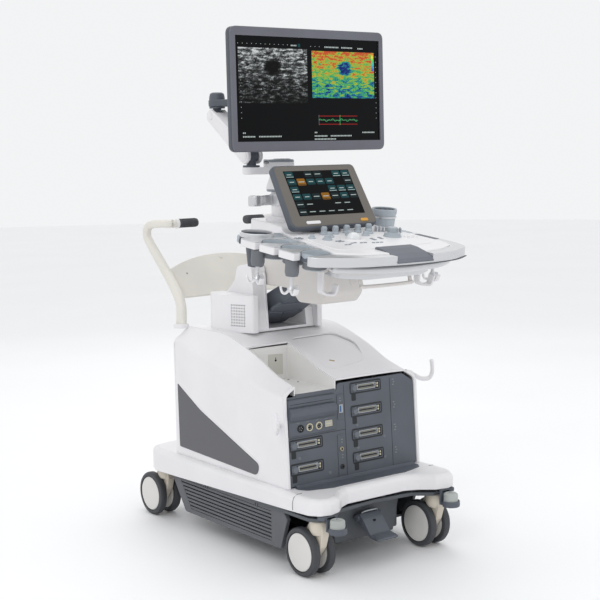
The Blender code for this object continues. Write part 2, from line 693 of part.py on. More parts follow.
def console():
    deck = deck_frame()
    pivot = CONSOLE_SWIVEL
    body = piece("console_body", outline_mesh(DECK_OUTLINE, -DECK_THICK, 0.0), "white", deck,
                 pivot)
    palm_well = box_mesh((-PALM_HALF - 0.0005, -0.400, -0.018),
                         (PALM_HALF + 0.0005, -0.2805, 0.010))
    cut(body, palm_well.copy(), deck)
    inside = shrunk(DECK_OUTLINE, WALL)
    cut(body, outline_mesh(inside, -0.046, -0.022), deck)
    cut(body, box_mesh((-0.045, 0.100, -0.060), (0.060, 0.160, -0.040)), deck)
    cut(body, rod_mesh((-0.020, -0.152, -0.030), "z", 0.050, 0.0205, segments=20), deck)
    join(body, rod_mesh((pivot[0], pivot[1], pivot[2]), "z", 0.0400, 0.045, segments=20))
    for side in (-1, 1):
        x, y = side * HOOK_X, -0.205
        hook = [(x, y, -0.046), (x, y, -0.105), (x + 0.004, y - 0.004, -0.116),
                (x + 0.016, y - 0.010, -0.121), (x + 0.030, y - 0.016, -0.116),
                (x + 0.036, y - 0.018, -0.100)]
        join(body, tube_mesh(smooth_path(hook, 1), 0.0045, 1), deck)

    outer = [(-0.271, -0.2865), (-0.271, -0.301), (-0.260, -0.314), (-0.198, -0.341),
             (-0.140, -0.358), (0.0, -0.374), (0.140, -0.358), (0.220, -0.320), (0.236, -0.262),
             (0.236, -0.045), (0.2055, 0.000)]
    inner = [(0.2055, -0.240), (0.1903, -0.2905), (0.120, -0.3305), (0.0, -0.3455),
             (-0.120, -0.3305), (-0.1903, -0.2905), (-0.1916, -0.2865)]
    rim = piece("console_rim", outline_mesh(outer + inner, -0.026, -0.004), "silver", deck)
    cut(rim, palm_well, deck)

    roll = [(-0.2810, 0.0025), (-0.3100, 0.0010), (-0.3450, -0.0050), (-0.3640, -0.0110),
            (-0.3720, -0.0175), (-0.2810, -0.0175)]
    rest = piece("palm_rest", outline_mesh(roll, -PALM_HALF, PALM_HALF, "x"), "bezel", deck)
    bevel(rest, 0.0015, 2, 50)

    keyboard_drawer(deck)
    probe_holders(deck)
    for index in range(5):
        knob_x = -0.050 + 0.0375 * index
        skirt = [(0.0, 0.0225), (0.0068, 0.0225), (0.0080, 0.0210), (0.0088, 0.0003), (0.0, 0.0003)]
        knob = turned(f"touch_knob_{index + 1}", skirt, (0, 0, 0), "dish", steps=16, cyclic=False)
        knob.matrix_local = deck @ Matrix.Translation((knob_x, -0.070, 0.0))
    ball = bmesh.new()
    bmesh.ops.create_uvsphere(ball, u_segments=20, v_segments=10, radius=0.019)
    sphere = piece("trackball", to_mesh(ball), "dish")
    sphere.data.shade_smooth()
    sphere.matrix_local = deck @ Matrix.Translation((-0.020, -0.152, 0.0015))
    stack = [(0.0, 0.026), (0.012, 0.026), (0.0135, 0.0245), (0.0140, 0.0130), (0.0195, 0.0125),
             (0.0210, 0.0110), (0.0215, 0.0003), (0.0, 0.0003)]
    dial = turned("gain_dial", stack, (0, 0, 0), "dish", steps=20, cyclic=False)
    dial.matrix_local = deck @ Matrix.Translation((0.112, -0.152, 0.0))


def keyboard_drawer(deck):
    plan = rounded([(-0.148, -0.115), (-0.148, -0.262), (-0.090, -0.295), (0.090, -0.295),
                    (0.148, -0.262), (0.148, -0.115)], 0.010, 2)
    drawer = piece("keyboard_drawer", outline_mesh(plan, -0.072, -0.0505), "white", deck)
    cut(drawer, box_mesh((-0.138, -0.258, -0.066), (0.138, -0.125, -0.040)), deck)
    loop = [(-0.080, -0.258, -0.070), (-0.080, -0.266, -0.090), (-0.072, -0.270, -0.095),
            (0.072, -0.270, -0.095), (0.080, -0.266, -0.090), (0.080, -0.258, -0.070)]
    join(drawer, tube_mesh(loop, 0.0045, 1), deck)


def probe_holders(deck):
    edge = [(x - 0.0014, y) for x, y in HOLDER_EDGE]
    plan = [(-0.1895, -0.2830), *edge, (-0.150, 0.050), (-0.262, 0.050), (-0.272, 0.036),
            (-0.272, -0.275), (-0.265, -0.283)]
    tray = piece("probe_tray", outline_mesh(plan, -0.024, -0.004), "white", deck)
    for y in CUP_Y:
        join(tray, rod_mesh((CUP_X, y, -0.046), "z", 0.0400, 0.026, 0.0345, segments=20), deck)
    for y in CUP_Y:
        cut(tray, rod_mesh((CUP_X, y, -0.043), "z", 0.0450, 0.0235, 0.0335, segments=20), deck)
    cut(tray, rod_mesh((CUP_X, GEL_Y, -0.040), "z", 0.0500, 0.0437, segments=24), deck)

    ring = [(0.0430, 0.000), (0.0430, -0.010), (0.0270, -0.034), (0.0200, -0.085), (0.0, -0.085),
            (0.0, -0.081), (0.0175, -0.081), (0.0245, -0.032), (0.0395, -0.008), (0.0395, 0.000)]
    gel = turned("gel_cup", ring, (0, 0, 0), "dark", steps=24, cyclic=True)
    gel.matrix_local = deck @ Matrix.Translation((CUP_X, GEL_Y, 0.004))

    right = cup_profile(0.0350, 0.0290, 0.040, -0.012)
    cup = turned("probe_cup_right", right, (0, 0, 0), "dish", steps=20, cyclic=True)
    cup.matrix_local = deck @ Matrix.Translation((0.2425, 0.035, 0.0))


def touch_panel():
    deck = deck_frame()
    lean = leaning(TOUCH_FOOT, TOUCH_LEAN)
    face = rounded([(-0.1430, 0.0), (0.1430, 0.0), (0.1370, TOUCH_HEIGHT), (-0.1370, TOUCH_HEIGHT)],
                   0.012, 3)
    panel = piece("touch_panel", outline_mesh(face, 0.0, 0.022, "y"), "bezel", lean)
    back = [(-0.100, 0.030), (0.100, 0.030), (0.085, 0.150), (-0.085, 0.150)]
    join(panel, outline_mesh(back, 0.018, 0.040, "y"), lean)
    join(panel, box_mesh((-0.070, 0.004, 0.0003), (0.070, 0.050, 0.046)), deck)


# Monitor arm ----------------------------------------------------------------
def monitor_arm():
    deck = deck_frame()
    x, y = POST_AXIS
    post = piece("monitor_post", rod_mesh((0, 0.176, 0.0003), "z", 0.014, 0.044, segments=24),
                 "dark", deck)
    join(post, rod_mesh((x, y, 0.868), "z", 0.080, 0.030, segments=20))
    join(post, rod_mesh((x, y, 0.940), "z", 0.0502, 0.044, 0.032, segments=24))

    plan = link_outline(POST_AXIS, 0.034, ELBOW[:2], 0.025)
    lower = piece("lower_arm", outline_mesh(plan, ARM_LOW, ARM_HIGH), "white",
                  pivot=(x, y, ARM_LOW))
    heading = Vector(ELBOW[:2]).normalized()
    angle = math.atan2(heading.y, heading.x)
    step = Matrix.Translation((ELBOW[0], ELBOW[1], 0)) @ Matrix.Rotation(angle, 4, "Z")
    cut(lower, box_mesh((-0.042, -0.040, 1.0100), (0.040, 0.040, 1.040)), step)

    elbow = piece("elbow_barrel", rod_mesh((ELBOW[0], ELBOW[1], 1.0103), "z", 0.0050, 0.0230),
                  "dark", pivot=(ELBOW[0], ELBOW[1], 1.0103))
    join(elbow, rod_mesh((ELBOW[0], ELBOW[1], 1.0130), "z", 0.0270, 0.0130, segments=16))
    join(elbow, rod_mesh((ELBOW[0] - BARREL_HALF, ELBOW[1], ELBOW[2]), "x", 2 * BARREL_HALF, 0.0160,
                         segments=20))

    side = link_outline(ELBOW[1:], 0.0225, WRIST[1:], 0.0190, 8)
    upper = piece("upper_arm", outline_mesh(side, ELBOW[0] - ARM_HALF, ELBOW[0] + ARM_HALF, "x"),
                  "white", pivot=ELBOW)
    slot = BARREL_HALF + 0.0007
    for centre, radius in ((ELBOW, 0.0245), (WRIST, 0.0215)):
        cut(upper, rod_mesh((centre[0] - slot, centre[1], centre[2]), "x", 2 * slot, radius,
                            segments=20))
    cut(upper, box_mesh((ELBOW[0] - 0.0185, ELBOW[1] - 0.040, 0.98),
                        (ELBOW[0] + 0.0185, ELBOW[1] + 0.016, ELBOW[2] - 0.012)))

    wrist = piece("arm_wrist", rod_mesh((WRIST[0] - BARREL_HALF, WRIST[1], WRIST[2]), "x",
                                        2 * BARREL_HALF, 0.0135, segments=20),
                  "dark", pivot=WRIST)
    join(wrist, rod_mesh((WRIST[0], WRIST[1], WRIST[2] + 0.002), "z", 0.0220, 0.0115, segments=16))
    join(wrist, rod_mesh((WRIST[0], WRIST[1], WRIST[2] + 0.0215), "z", 0.0045, 0.0220, segments=20))

    low, high = WRIST[2] + 0.0263, WRIST[2] + 0.0460
    arm = link_outline(WRIST[:2], 0.0240, (TILT_AXIS[0] - 0.012, 0.052), 0.0240)
    bracket = piece("tilt_bracket", outline_mesh(arm, low, high), "dark",
                    pivot=(WRIST[0], WRIST[1], low))
    join(bracket, rod_mesh((WRIST[0], WRIST[1], high - 0.002), "z", 0.022, 0.0200, segments=20))
    join(bracket, box_mesh((TILT_AXIS[0] - 0.028, 0.020, low + 0.001),
                           (TILT_AXIS[0] + 0.028, 0.060, 1.222)))
    join(bracket, rod_mesh((TILT_AXIS[0] - 0.028, TILT_AXIS[1], TILT_AXIS[2]), "x", 0.056, 0.0110,
                           segments=16))


def monitor():
    lean = leaning(MONITOR_FOOT, MONITOR_LEAN)
    half = MONITOR_W / 2
    outline = rounded([(-half, 0.0), (half, 0.0), (half, MONITOR_H), (-half, MONITOR_H)], 0.014, 3)
    bezel = piece("monitor_bezel", outline_mesh(outline, 0.0, 0.0040, "y"), "bezel", lean, TILT_AXIS)
    cut(bezel, box_mesh((-0.2430, -0.010, 0.0262), (0.2430, 0.020, 0.2998)), lean)
    piece("display_panel", box_mesh((-0.2470, 0.0043, 0.0222), (0.2470, 0.0110, 0.3038)), "screen",
          lean, TILT_AXIS)
    shell = piece("monitor_housing", outline_mesh(outline, 0.0043, 0.0270, "y"), "bezel", lean,
                  TILT_AXIS)
    cut(shell, box_mesh((-0.2475, -0.010, 0.0217), (0.2475, 0.0115, 0.3043)), lean)
    cut(shell, box_mesh((-0.2350, 0.0100, 0.0350), (0.2350, 0.0240, 0.2900)), lean)
    hump = [(-0.150, 0.060), (0.150, 0.060), (0.135, 0.250), (-0.135, 0.250)]
    join(shell, outline_mesh(hump, 0.0250, 0.0480, "y"), lean)
    cut(shell, outline_mesh([(-0.140, 0.070), (0.140, 0.070), (0.126, 0.240), (-0.126, 0.240)],
                            0.0120, 0.0440, "y"), lean)
    for side in (-1, 1):
        low, high = sorted((side * 0.0290, side * 0.0380))
        lug = box_mesh((TILT_AXIS[0] + low, -0.0300, 1.190), (TILT_AXIS[0] + high, 0.0240, 1.220))
        join(shell, lug)


ROOT = clear_scene()
for corner, (side, swivel_y) in CORNERS.items():
    caster(corner, side, swivel_y)
base_cover()
chassis()
vent_skirts()
bumpers()
brake_pedal()
body_covers()
interior()
port_panel()
push_handle()
cable_hooks()
column()
lift()
console()
touch_panel()
monitor_arm()
monitor()
bpy.context.view_layer.update()
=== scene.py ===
"""Looks of a cart-mounted ultrasound machine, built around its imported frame."""

import json
from math import atan2, copysign, cos, degrees, pi, radians, sin, sqrt, tan

import bmesh
import bpy
from mathutils import Matrix, Vector

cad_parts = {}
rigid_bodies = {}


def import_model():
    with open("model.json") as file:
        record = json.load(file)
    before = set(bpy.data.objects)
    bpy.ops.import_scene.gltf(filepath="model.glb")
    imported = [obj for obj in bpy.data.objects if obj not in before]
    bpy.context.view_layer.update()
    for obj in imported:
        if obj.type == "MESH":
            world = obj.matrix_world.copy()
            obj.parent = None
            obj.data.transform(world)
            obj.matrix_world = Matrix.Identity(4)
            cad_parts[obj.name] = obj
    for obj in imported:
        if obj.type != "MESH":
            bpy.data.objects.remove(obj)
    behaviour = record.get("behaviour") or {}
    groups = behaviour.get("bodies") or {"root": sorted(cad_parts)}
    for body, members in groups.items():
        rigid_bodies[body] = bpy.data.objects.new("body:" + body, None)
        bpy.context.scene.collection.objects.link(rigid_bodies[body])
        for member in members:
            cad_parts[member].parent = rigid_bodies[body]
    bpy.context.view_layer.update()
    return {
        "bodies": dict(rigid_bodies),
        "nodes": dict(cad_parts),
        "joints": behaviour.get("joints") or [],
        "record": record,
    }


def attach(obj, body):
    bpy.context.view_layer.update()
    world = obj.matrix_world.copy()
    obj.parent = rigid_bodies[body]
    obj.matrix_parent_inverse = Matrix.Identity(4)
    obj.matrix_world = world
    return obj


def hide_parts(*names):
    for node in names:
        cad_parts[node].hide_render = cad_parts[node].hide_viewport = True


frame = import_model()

bl_info = {"name": "Ultrasound Machine Looks", "version": (1, 0, 0), "blender": (4, 5, 0),
    "location": "View3D > Sidebar > Ultrasound",
    "description": "Builds the visible surfaces of a cart-mounted ultrasound machine",
    "category": "Object"}

JOINT_AT = {joint["name"]: Vector(joint["pos_m"]) for joint in frame["joints"] if "pos_m" in joint}
# Cart coordinates: x = 0 on the plane of symmetry, y = 0 midway between the axles, z = 0 floor.
CART = JOINT_AT["console_swivel"] - Vector((0.0, -.1, .7755))
moved, turned = Matrix.Translation, Matrix.Rotation
MM = .001
SOFTNESS = 32
FINISHES = {}


# Colour and node helpers ----------------------------------------------------
def srgb(text):
    """Linear RGBA of an sRGB hex colour."""
    channels = [int(text[i : i + 2], 16) / 255 for i in (1, 3, 5)]
    return tuple(c / 12.92 if c <= .04045 else ((c + .055) / 1.055) ** 2.4 for c in channels) + (1.0,)


def node(tree, kind, values=None, links=None, **settings):
    """Adds one node, sets its inputs' values and links them."""
    made = tree.nodes.new(kind)
    for key, value in settings.items():
        setattr(made, key, value)
    for key, value in (values or {}).items():
        made.inputs[key].default_value = value
    for key, source in (links or {}).items():
        tree.links.new(source, made.inputs[key])
    return made


def start_material(name):
    made = bpy.data.materials.new(name)
    made.use_nodes = True
    made.node_tree.nodes.clear()
    FINISHES[name] = made
    return made, made.node_tree


def end_material(tree, shader):
    node(tree, "ShaderNodeOutputMaterial", links={"Surface": shader.outputs[0]})


def ramp(tree, source, stops):
    made = node(tree, "ShaderNodeValToRGB", links={"Fac": source})
    elements = made.color_ramp.elements
    while len(elements) < len(stops):
        elements.new(.5)
    for element, (place, colour) in zip(elements, stops):
        element.position = place
        element.color = srgb(colour) if isinstance(colour, str) else colour
    return made


def shade(colour, factor):
    """A hex or linear colour made lighter or darker."""
    linear = srgb(colour) if isinstance(colour, str) else colour
    return tuple(min(c * factor, 1.0) for c in linear[:3]) + (1.0,)


def moulded(name, colour, roughness, grain_mm, depth_mm, metallic=0.0, variation=.05, ior=1.49,
        coat=0.0, flake=0.0, specular=.5):
    """A moulded or painted surface: a spark-eroded grain as fine bump, slow colour and gloss drift."""
    made, tree = start_material(name)
    place = node(tree, "ShaderNodeTexCoord").outputs["Object"]
    grain = node(tree, "ShaderNodeTexNoise", {"Scale": 1 / (grain_mm * MM), "Detail": 3.0},
        {"Vector": place})
    drift = node(tree, "ShaderNodeTexNoise", {"Scale": 9.0, "Detail": 2.0}, {"Vector": place})
    both = node(tree, "ShaderNodeMath", {1: flake}, {0: grain.outputs["Fac"]}, operation="MULTIPLY")
    mixed = node(tree, "ShaderNodeMath", None, {0: both.outputs[0], 1: drift.outputs["Fac"]},
        operation="ADD")
    tint = ramp(tree, mixed.outputs[0], [(.3, shade(colour, 1 - variation)), (.7 + flake * .5,
        shade(colour, 1 + variation))])
    gloss = node(tree, "ShaderNodeMapRange", {"From Min": .3, "From Max": .7, "To Min": roughness - .04,
        "To Max": roughness + .05}, {"Value": drift.outputs["Fac"]})
    bump = node(tree, "ShaderNodeBump", {"Strength": .35, "Distance": depth_mm * MM},
        {"Height": grain.outputs["Fac"]})
    shader = node(tree, "ShaderNodeBsdfPrincipled", {"Metallic": metallic, "IOR": ior if metallic < .5
        else 1.5, "Coat Weight": coat, "Specular IOR Level": specular},
        {"Base Color": tint.outputs["Color"], "Roughness": gloss.outputs[0],
        "Normal": bump.outputs["Normal"]})
    end_material(tree, shader)
    return made


def brushed_steel(name, colour):
    """Zinc-plated sheet: long rolling marks along x, bright between them."""
    made, tree = start_material(name)
    place = node(tree, "ShaderNodeTexCoord").outputs["Object"]
    stretched = node(tree, "ShaderNodeMapping", {"Scale": (20.0, 900.0, 900.0)}, {"Vector": place})
    marks = node(tree, "ShaderNodeTexNoise", {"Scale": 1.0, "Detail": 4.0},
        {"Vector": stretched.outputs[0]})
    tint = ramp(tree, marks.outputs["Fac"], [(.3, shade(colour, .86)), (.7, shade(colour, 1.08))])
    gloss = node(tree, "ShaderNodeMapRange", {"To Min": .25, "To Max": .45},
        {"Value": marks.outputs["Fac"]})
    shader = node(tree, "ShaderNodeBsdfPrincipled", {"Metallic": .9},
        {"Base Color": tint.outputs["Color"], "Roughness": gloss.outputs[0]})
    end_material(tree, shader)
    return made


def glowing(name, colour, strength=1.0):
    """A lit area of a display: even light from behind, a fine sub-pixel mesh over it."""
    made, tree = start_material(name)
    place = node(tree, "ShaderNodeTexCoord").outputs["Object"]
    mesh = node(tree, "ShaderNodeTexNoise", {"Scale": 1 / (1.2 * MM), "Detail": 1.0}, {"Vector": place})
    tint = ramp(tree, mesh.outputs["Fac"], [(.3, shade(colour, .8)), (.7, shade(colour, 1.1))])
    shader = node(tree, "ShaderNodeBsdfPrincipled", {"Roughness": .25, "Emission Strength": strength,
        "Base Color": (.002, .002, .002, 1), "Specular IOR Level": .1},
        {"Emission Color": tint.outputs["Color"]})
    end_material(tree, shader)
    return made


SCAN_GREYS = [(.3, "#000000"), (.45, "#1a1c1c"), (.58, "#56595a"), (.74, "#c9cdcd")]
SCAN_COLOURS = [(.26, "#0e1b66"), (.36, "#1b5f96"), (.44, "#2f9a6e"), (.54, "#5fae4a"),
    (.63, "#b9b13a"), (.72, "#c0502c")]


def tissue(name, stops, centre, lesion, width, height, fade, level):
    """A scan on a display: stretched speckle in layers, a dark round lesion, weaker with depth."""
    made, tree = start_material(name)
    place = node(tree, "ShaderNodeTexCoord").outputs["Object"]
    local = node(tree, "ShaderNodeMapping", {"Location": tuple(-c for c in centre)}, {"Vector": place},
        vector_type="POINT")
    axes = node(tree, "ShaderNodeSeparateXYZ", None, {"Vector": local.outputs[0]})
    layers = node(tree, "ShaderNodeMapping", {"Scale": (45.0, 1.0, 150.0)},
        {"Vector": local.outputs[0]})
    broad = node(tree, "ShaderNodeTexNoise", {"Scale": 1.0, "Detail": 6.0, "Distortion": .6},
        {"Vector": layers.outputs[0]})
    speckle = node(tree, "ShaderNodeTexNoise", {"Scale": 1 / (3.2 * MM), "Detail": 2.0},
        {"Vector": local.outputs[0]})
    rough = node(tree, "ShaderNodeMath", {1: .45}, {0: speckle.outputs["Fac"]}, operation="MULTIPLY")
    sum_up = node(tree, "ShaderNodeMath", None, {0: broad.outputs["Fac"], 1: rough.outputs[0]},
        operation="ADD")
    depth = node(tree, "ShaderNodeMapRange", {"From Min": -height / 2, "From Max": height / 2, "To Min":
        -fade, "To Max": 0.0}, {"Value": axes.outputs["Z"]})
    faded = node(tree, "ShaderNodeMath", None, {0: sum_up.outputs[0], 1: depth.outputs[0]},
        operation="ADD")
    offset = node(tree, "ShaderNodeMapping", {"Location": (-lesion[0], 0.0, -lesion[1] * 1.35),
        "Scale": (1.0, 0.0, 1.35)}, {"Vector": local.outputs[0]})
    away = node(tree, "ShaderNodeVectorMath", None, {0: offset.outputs[0]}, operation="LENGTH")
    hole = node(tree, "ShaderNodeMapRange", {"From Min": width * .07, "From Max": width * .14,
        "To Min": level - .34, "To Max": level}, {"Value": away.outputs["Value"]})
    value = node(tree, "ShaderNodeMath", None, {0: faded.outputs[0], 1: hole.outputs[0]},
        operation="ADD")
    tint = ramp(tree, value.outputs[0], stops)
    shader = node(tree, "ShaderNodeBsdfPrincipled", {"Roughness": .25, "Emission Strength": 1.0,
        "Base Color": (.002, .002, .002, 1), "Specular IOR Level": .1},
        {"Emission Color": tint.outputs["Color"]})
    end_material(tree, shader)
    return made


def colour_scale(name, low, high):
    """A vertical scale from blue over green to red."""
    made, tree = start_material(name)
    place = node(tree, "ShaderNodeTexCoord").outputs["Object"]
    axes = node(tree, "ShaderNodeSeparateXYZ", None, {"Vector": place})
    level = node(tree, "ShaderNodeMapRange", {"From Min": low, "From Max": high},
        {"Value": axes.outputs["Z"]})
    tint = ramp(tree, level.outputs[0], [(0.0, "#1020c0"), (.35, "#20b0c0"), (.6, "#30d040"),
        (.8, "#e0e020"), (1.0, "#e02010")])
    shader = node(tree, "ShaderNodeBsdfPrincipled", {"Roughness": .3, "Emission Strength": 1.0,
        "Base Color": (.002, .002, .002, 1)}, {"Emission Color": tint.outputs["Color"]})
    end_material(tree, shader)
    return made


# Mesh helpers, all in cart coordinates --------------------------------------
def to_mesh(bm, fix=True):
    if fix:
        bmesh.ops.remove_doubles(bm, verts=bm.verts, dist=1e-6)
        bmesh.ops.recalc_face_normals(bm, faces=bm.faces)
    mesh = bpy.data.meshes.new("part")
    bm.to_mesh(mesh)
    bm.free()
    return mesh


AXES = {"z": Matrix(((1, 0, 0), (0, 1, 0), (0, 0, 1))).to_4x4(), "x": Matrix(((0, 0, 1), (1, 0, 0),
    (0, 1, 0))).to_4x4(), "y": Matrix(((1, 0, 0), (0, 0, 1), (0, 1, 0))).to_4x4()}


def slab(outline, low, high, axis="z", edge=.0015, segments=3, place=None):
    """A flat outline between low and high with rounded rims. Axis z takes (x, y), axis x takes
    (y, z) and axis y takes (x, z) points."""
    bm = bmesh.new()
    lower = [bm.verts.new((u, v, low)) for u, v in outline]
    upper = [bm.verts.new((u, v, high)) for u, v in outline]
    bm.faces.new(lower)
    bm.faces.new(upper)
    for i in range(len(outline)):
        j = (i + 1) % len(outline)
        bm.faces.new((lower[i], lower[j], upper[j], upper[i]))
    bmesh.ops.recalc_face_normals(bm, faces=bm.faces)
    if edge:
        rims = [e for e in bm.edges if len({v.co.z for v in e.verts}) == 1]
        bmesh.ops.bevel(bm, geom=rims, offset=edge, segments=segments, profile=.5, affect="EDGES",
            clamp_overlap=True)
    bmesh.ops.transform(bm, matrix=(place or Matrix()) @ AXES[axis], verts=bm.verts)
    return to_mesh(bm)


def block(low, high, edge=.0015, place=None, segments=3):
    """A box with all its edges rounded."""
    bm = bmesh.new()
    bmesh.ops.create_cube(bm, size=1.0)
    low, high = Vector(low), Vector(high)
    size = Matrix.Diagonal((*(high - low), 1.0))
    bmesh.ops.transform(bm, matrix=moved((low + high) / 2) @ size, verts=bm.verts)
    if edge:
        bmesh.ops.bevel(bm, geom=bm.edges[:], offset=edge, segments=segments, profile=.5,
            affect="EDGES", clamp_overlap=True)
    if place:
        bmesh.ops.transform(bm, matrix=place, verts=bm.verts)
    return to_mesh(bm)


def lathe(profile, centre=(0, 0, 0), axis="z", steps=48, place=None, closed=False):
    """A turned shape from (radius, height) points; both ends lie on the axis unless closed."""
    bm = bmesh.new()
    rings = []
    for radius, height in profile:
        if radius < 1e-7:
            rings.append([bm.verts.new((0, 0, height))])
            continue
        angles = [2 * pi * i / steps for i in range(steps)]
        rings.append([bm.verts.new((radius * cos(a), radius * sin(a), height)) for a in angles])
    pairs = list(zip(rings, rings[1:])) + ([(rings[-1], rings[0])] if closed else [])
    for first, second in pairs:
        for i in range(steps):
            j = (i + 1) % steps
            corners = [first[i % len(first)], first[j % len(first)], second[j % len(second)],
                second[i % len(second)]]
            corners = list(dict.fromkeys(corners))
            if len(corners) > 2:
                bm.faces.new(corners)
    turn = AXES[axis] if axis != "x" else turned(radians(90), 4, "Y")
    matrix = (place or Matrix()) @ moved(centre) @ turn
    bmesh.ops.transform(bm, matrix=matrix, verts=bm.verts)
    return to_mesh(bm)


def rod(start, axis, length, radius, edge=.001, steps=32, place=None):
    profile = [(0, 0), (radius - edge, 0), (radius, edge), (radius, length - edge), (radius - edge,
        length), (0, length)]
    return lathe(profile, start, axis, steps, place)


def rings_to_mesh(rings, caps=True, cyclic=True, place=None):
    """Quads between rings of points, with flat caps."""
    bm = bmesh.new()
    made = [[bm.verts.new(point) for point in ring] for ring in rings]
    count = len(made[0])
    for first, second in zip(made, made[1:]):
        for i in range(count if cyclic else count - 1):
            j = (i + 1) % count
            bm.faces.new((first[i], first[j], second[j], second[i]))
    if caps:
        bm.faces.new(made[0])
        bm.faces.new(made[-1])
    if place:
        bmesh.ops.transform(bm, matrix=place, verts=bm.verts)
    return to_mesh(bm)


def sweep(points, size, sides=20, place=None, wide=(1, 0, 0), corner=1.0):
    """A tube along points. size(t) gives half widths along `wide` and across it; corner below 1
    turns the oval section into a strap with rounded corners."""
    points = [Vector(p) for p in points]
    rings = []
    for i, point in enumerate(points):
        ahead = points[min(i + 1, len(points) - 1)] - points[max(i - 1, 0)]
        ahead.normalize()
        side = Vector(wide) - ahead * ahead.dot(Vector(wide))
        if side.length < .2:
            side = Vector((0, 0, 1)) - ahead * ahead.z
        side.normalize()
        across = ahead.cross(side)
        a, b = size(i / (len(points) - 1))
        ring = []
        for k in range(sides):
            angle = 2 * pi * k / sides
            c, s = cos(angle), sin(angle)
            ring.append(point + side * a * copysign(abs(c) ** corner, c) + across * b
                * copysign(abs(s) ** corner, s))
        rings.append(ring)
    return rings_to_mesh(rings, place=place)


def even(width, height=None):
    return lambda t: (width, height or width)


def rounded(corners, radius, steps=6):
    """Replaces each corner of a closed outline by an arc of up to the given radius."""
    result = []
    count = len(corners)
    for i in range(count):
        corner = Vector(corners[i])
        back = Vector(corners[i - 1]) - corner
        ahead = Vector(corners[(i + 1) % count]) - corner
        size = radius[i] if isinstance(radius, (list, tuple)) else radius
        turn = back.angle(ahead)
        if size <= 0 or turn > 3.1:
            result.append(tuple(corner))
            continue
        cut = min(size / tan(turn / 2), .48 * back.length, .48 * ahead.length)
        start = corner + back.normalized() * cut
        end = corner + ahead.normalized() * cut
        for step in range(steps + 1):
            t = step / steps
            result.append(tuple(start * (1 - t) ** 2 + corner * 2 * t * (1 - t) + end * t**2))
    return result


def rect(left, low, right, high):
    """The four corners of a rectangle, anticlockwise."""
    return [(left, low), (right, low), (right, high), (left, high)]


def arc(centre, radius, first, last, steps):
    points = []
    for step in range(steps + 1):
        angle = radians(first + (last - first) * step / steps)
        points.append((centre[0] + radius * cos(angle), centre[1] + radius * sin(angle)))
    return points


def link_outline(start, start_radius, end, end_radius, steps=14):
    heading = degrees(atan2(end[1] - start[1], end[0] - start[0]))
    near = arc(start, start_radius, heading + 90, heading + 270, steps)
    return near + arc(end, end_radius, heading - 90, heading + 90, steps)


def mirrored(half):
    return half + [(-x, y) for x, y in reversed(half) if x > 1e-6]


def smooth_path(points, steps=6):
    points = [Vector(p) for p in points]
    path = [points[0]]
    for i in range(len(points) - 1):
        a, b = points[max(i - 1, 0)], points[i]
        c, d = points[i + 1], points[min(i + 2, len(points) - 1)]
        for step in range(1, steps + 1):
            t = step / steps
            path.append(.5 * (2 * b + (c - a) * t + (2 * a - 5 * b + 4 * c - d) * t**2 + (3 * b - a - 3
                * c + d) * t**3))
    return path


def leaning(foot, angle):
    return moved(foot) @ turned(radians(-angle), 4, "X")


def temporary(mesh, modifiers):
    """The mesh after the given modifiers, each as (type, settings)."""
    obj = bpy.data.objects.new("temporary", mesh)
    bpy.context.scene.collection.objects.link(obj)
    for kind, settings in modifiers:
        modifier = obj.modifiers.new(kind.lower(), kind)
        for key, value in settings.items():
            setattr(modifier, key, value)
    bpy.context.view_layer.update()
    graph = bpy.context.evaluated_depsgraph_get()
    result = bpy.data.meshes.new_from_object(obj.evaluated_get(graph))
    bpy.data.objects.remove(obj, do_unlink=True)
    return result


def carved(mesh, cutters, operation="DIFFERENCE"):
    """The mesh with closed cutters taken out of it."""
    for cutter in cutters:
        tool = bpy.data.objects.new("cutter", cutter)
        bpy.context.scene.collection.objects.link(tool)
        mesh = temporary(mesh, [("BOOLEAN", {"operation": operation, "object": tool,
            "solver": "EXACT"})])
        bpy.data.objects.remove(tool, do_unlink=True)
    return mesh


def finished(name, body, parts, nodes=()):
    """Makes one piece at the origin from (mesh, material) parts, riding on a body."""
    bm = bmesh.new()
    names = []
    for mesh, finish in parts:
        if finish not in names:
            names.append(finish)
        mesh.transform(moved(CART))
        before = len(bm.faces)
        bm.from_mesh(mesh)
        bm.faces.ensure_lookup_table()
        for face in bm.faces[before:]:
            face.material_index = names.index(finish)
    mesh = bpy.data.meshes.new(name)
    bm.to_mesh(mesh)
    bm.free()
    for finish in names:
        mesh.materials.append(FINISHES[finish])
    mesh.shade_smooth()
    mesh.set_sharp_from_angle(angle=radians(SOFTNESS))
    obj = bpy.data.objects.new(name, mesh)
    bpy.context.scene.collection.objects.link(obj)
    weighted = obj.modifiers.new("even_shading", "WEIGHTED_NORMAL")
    weighted.keep_sharp = True
    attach(obj, body)
    if nodes:
        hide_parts(*nodes)
    return obj


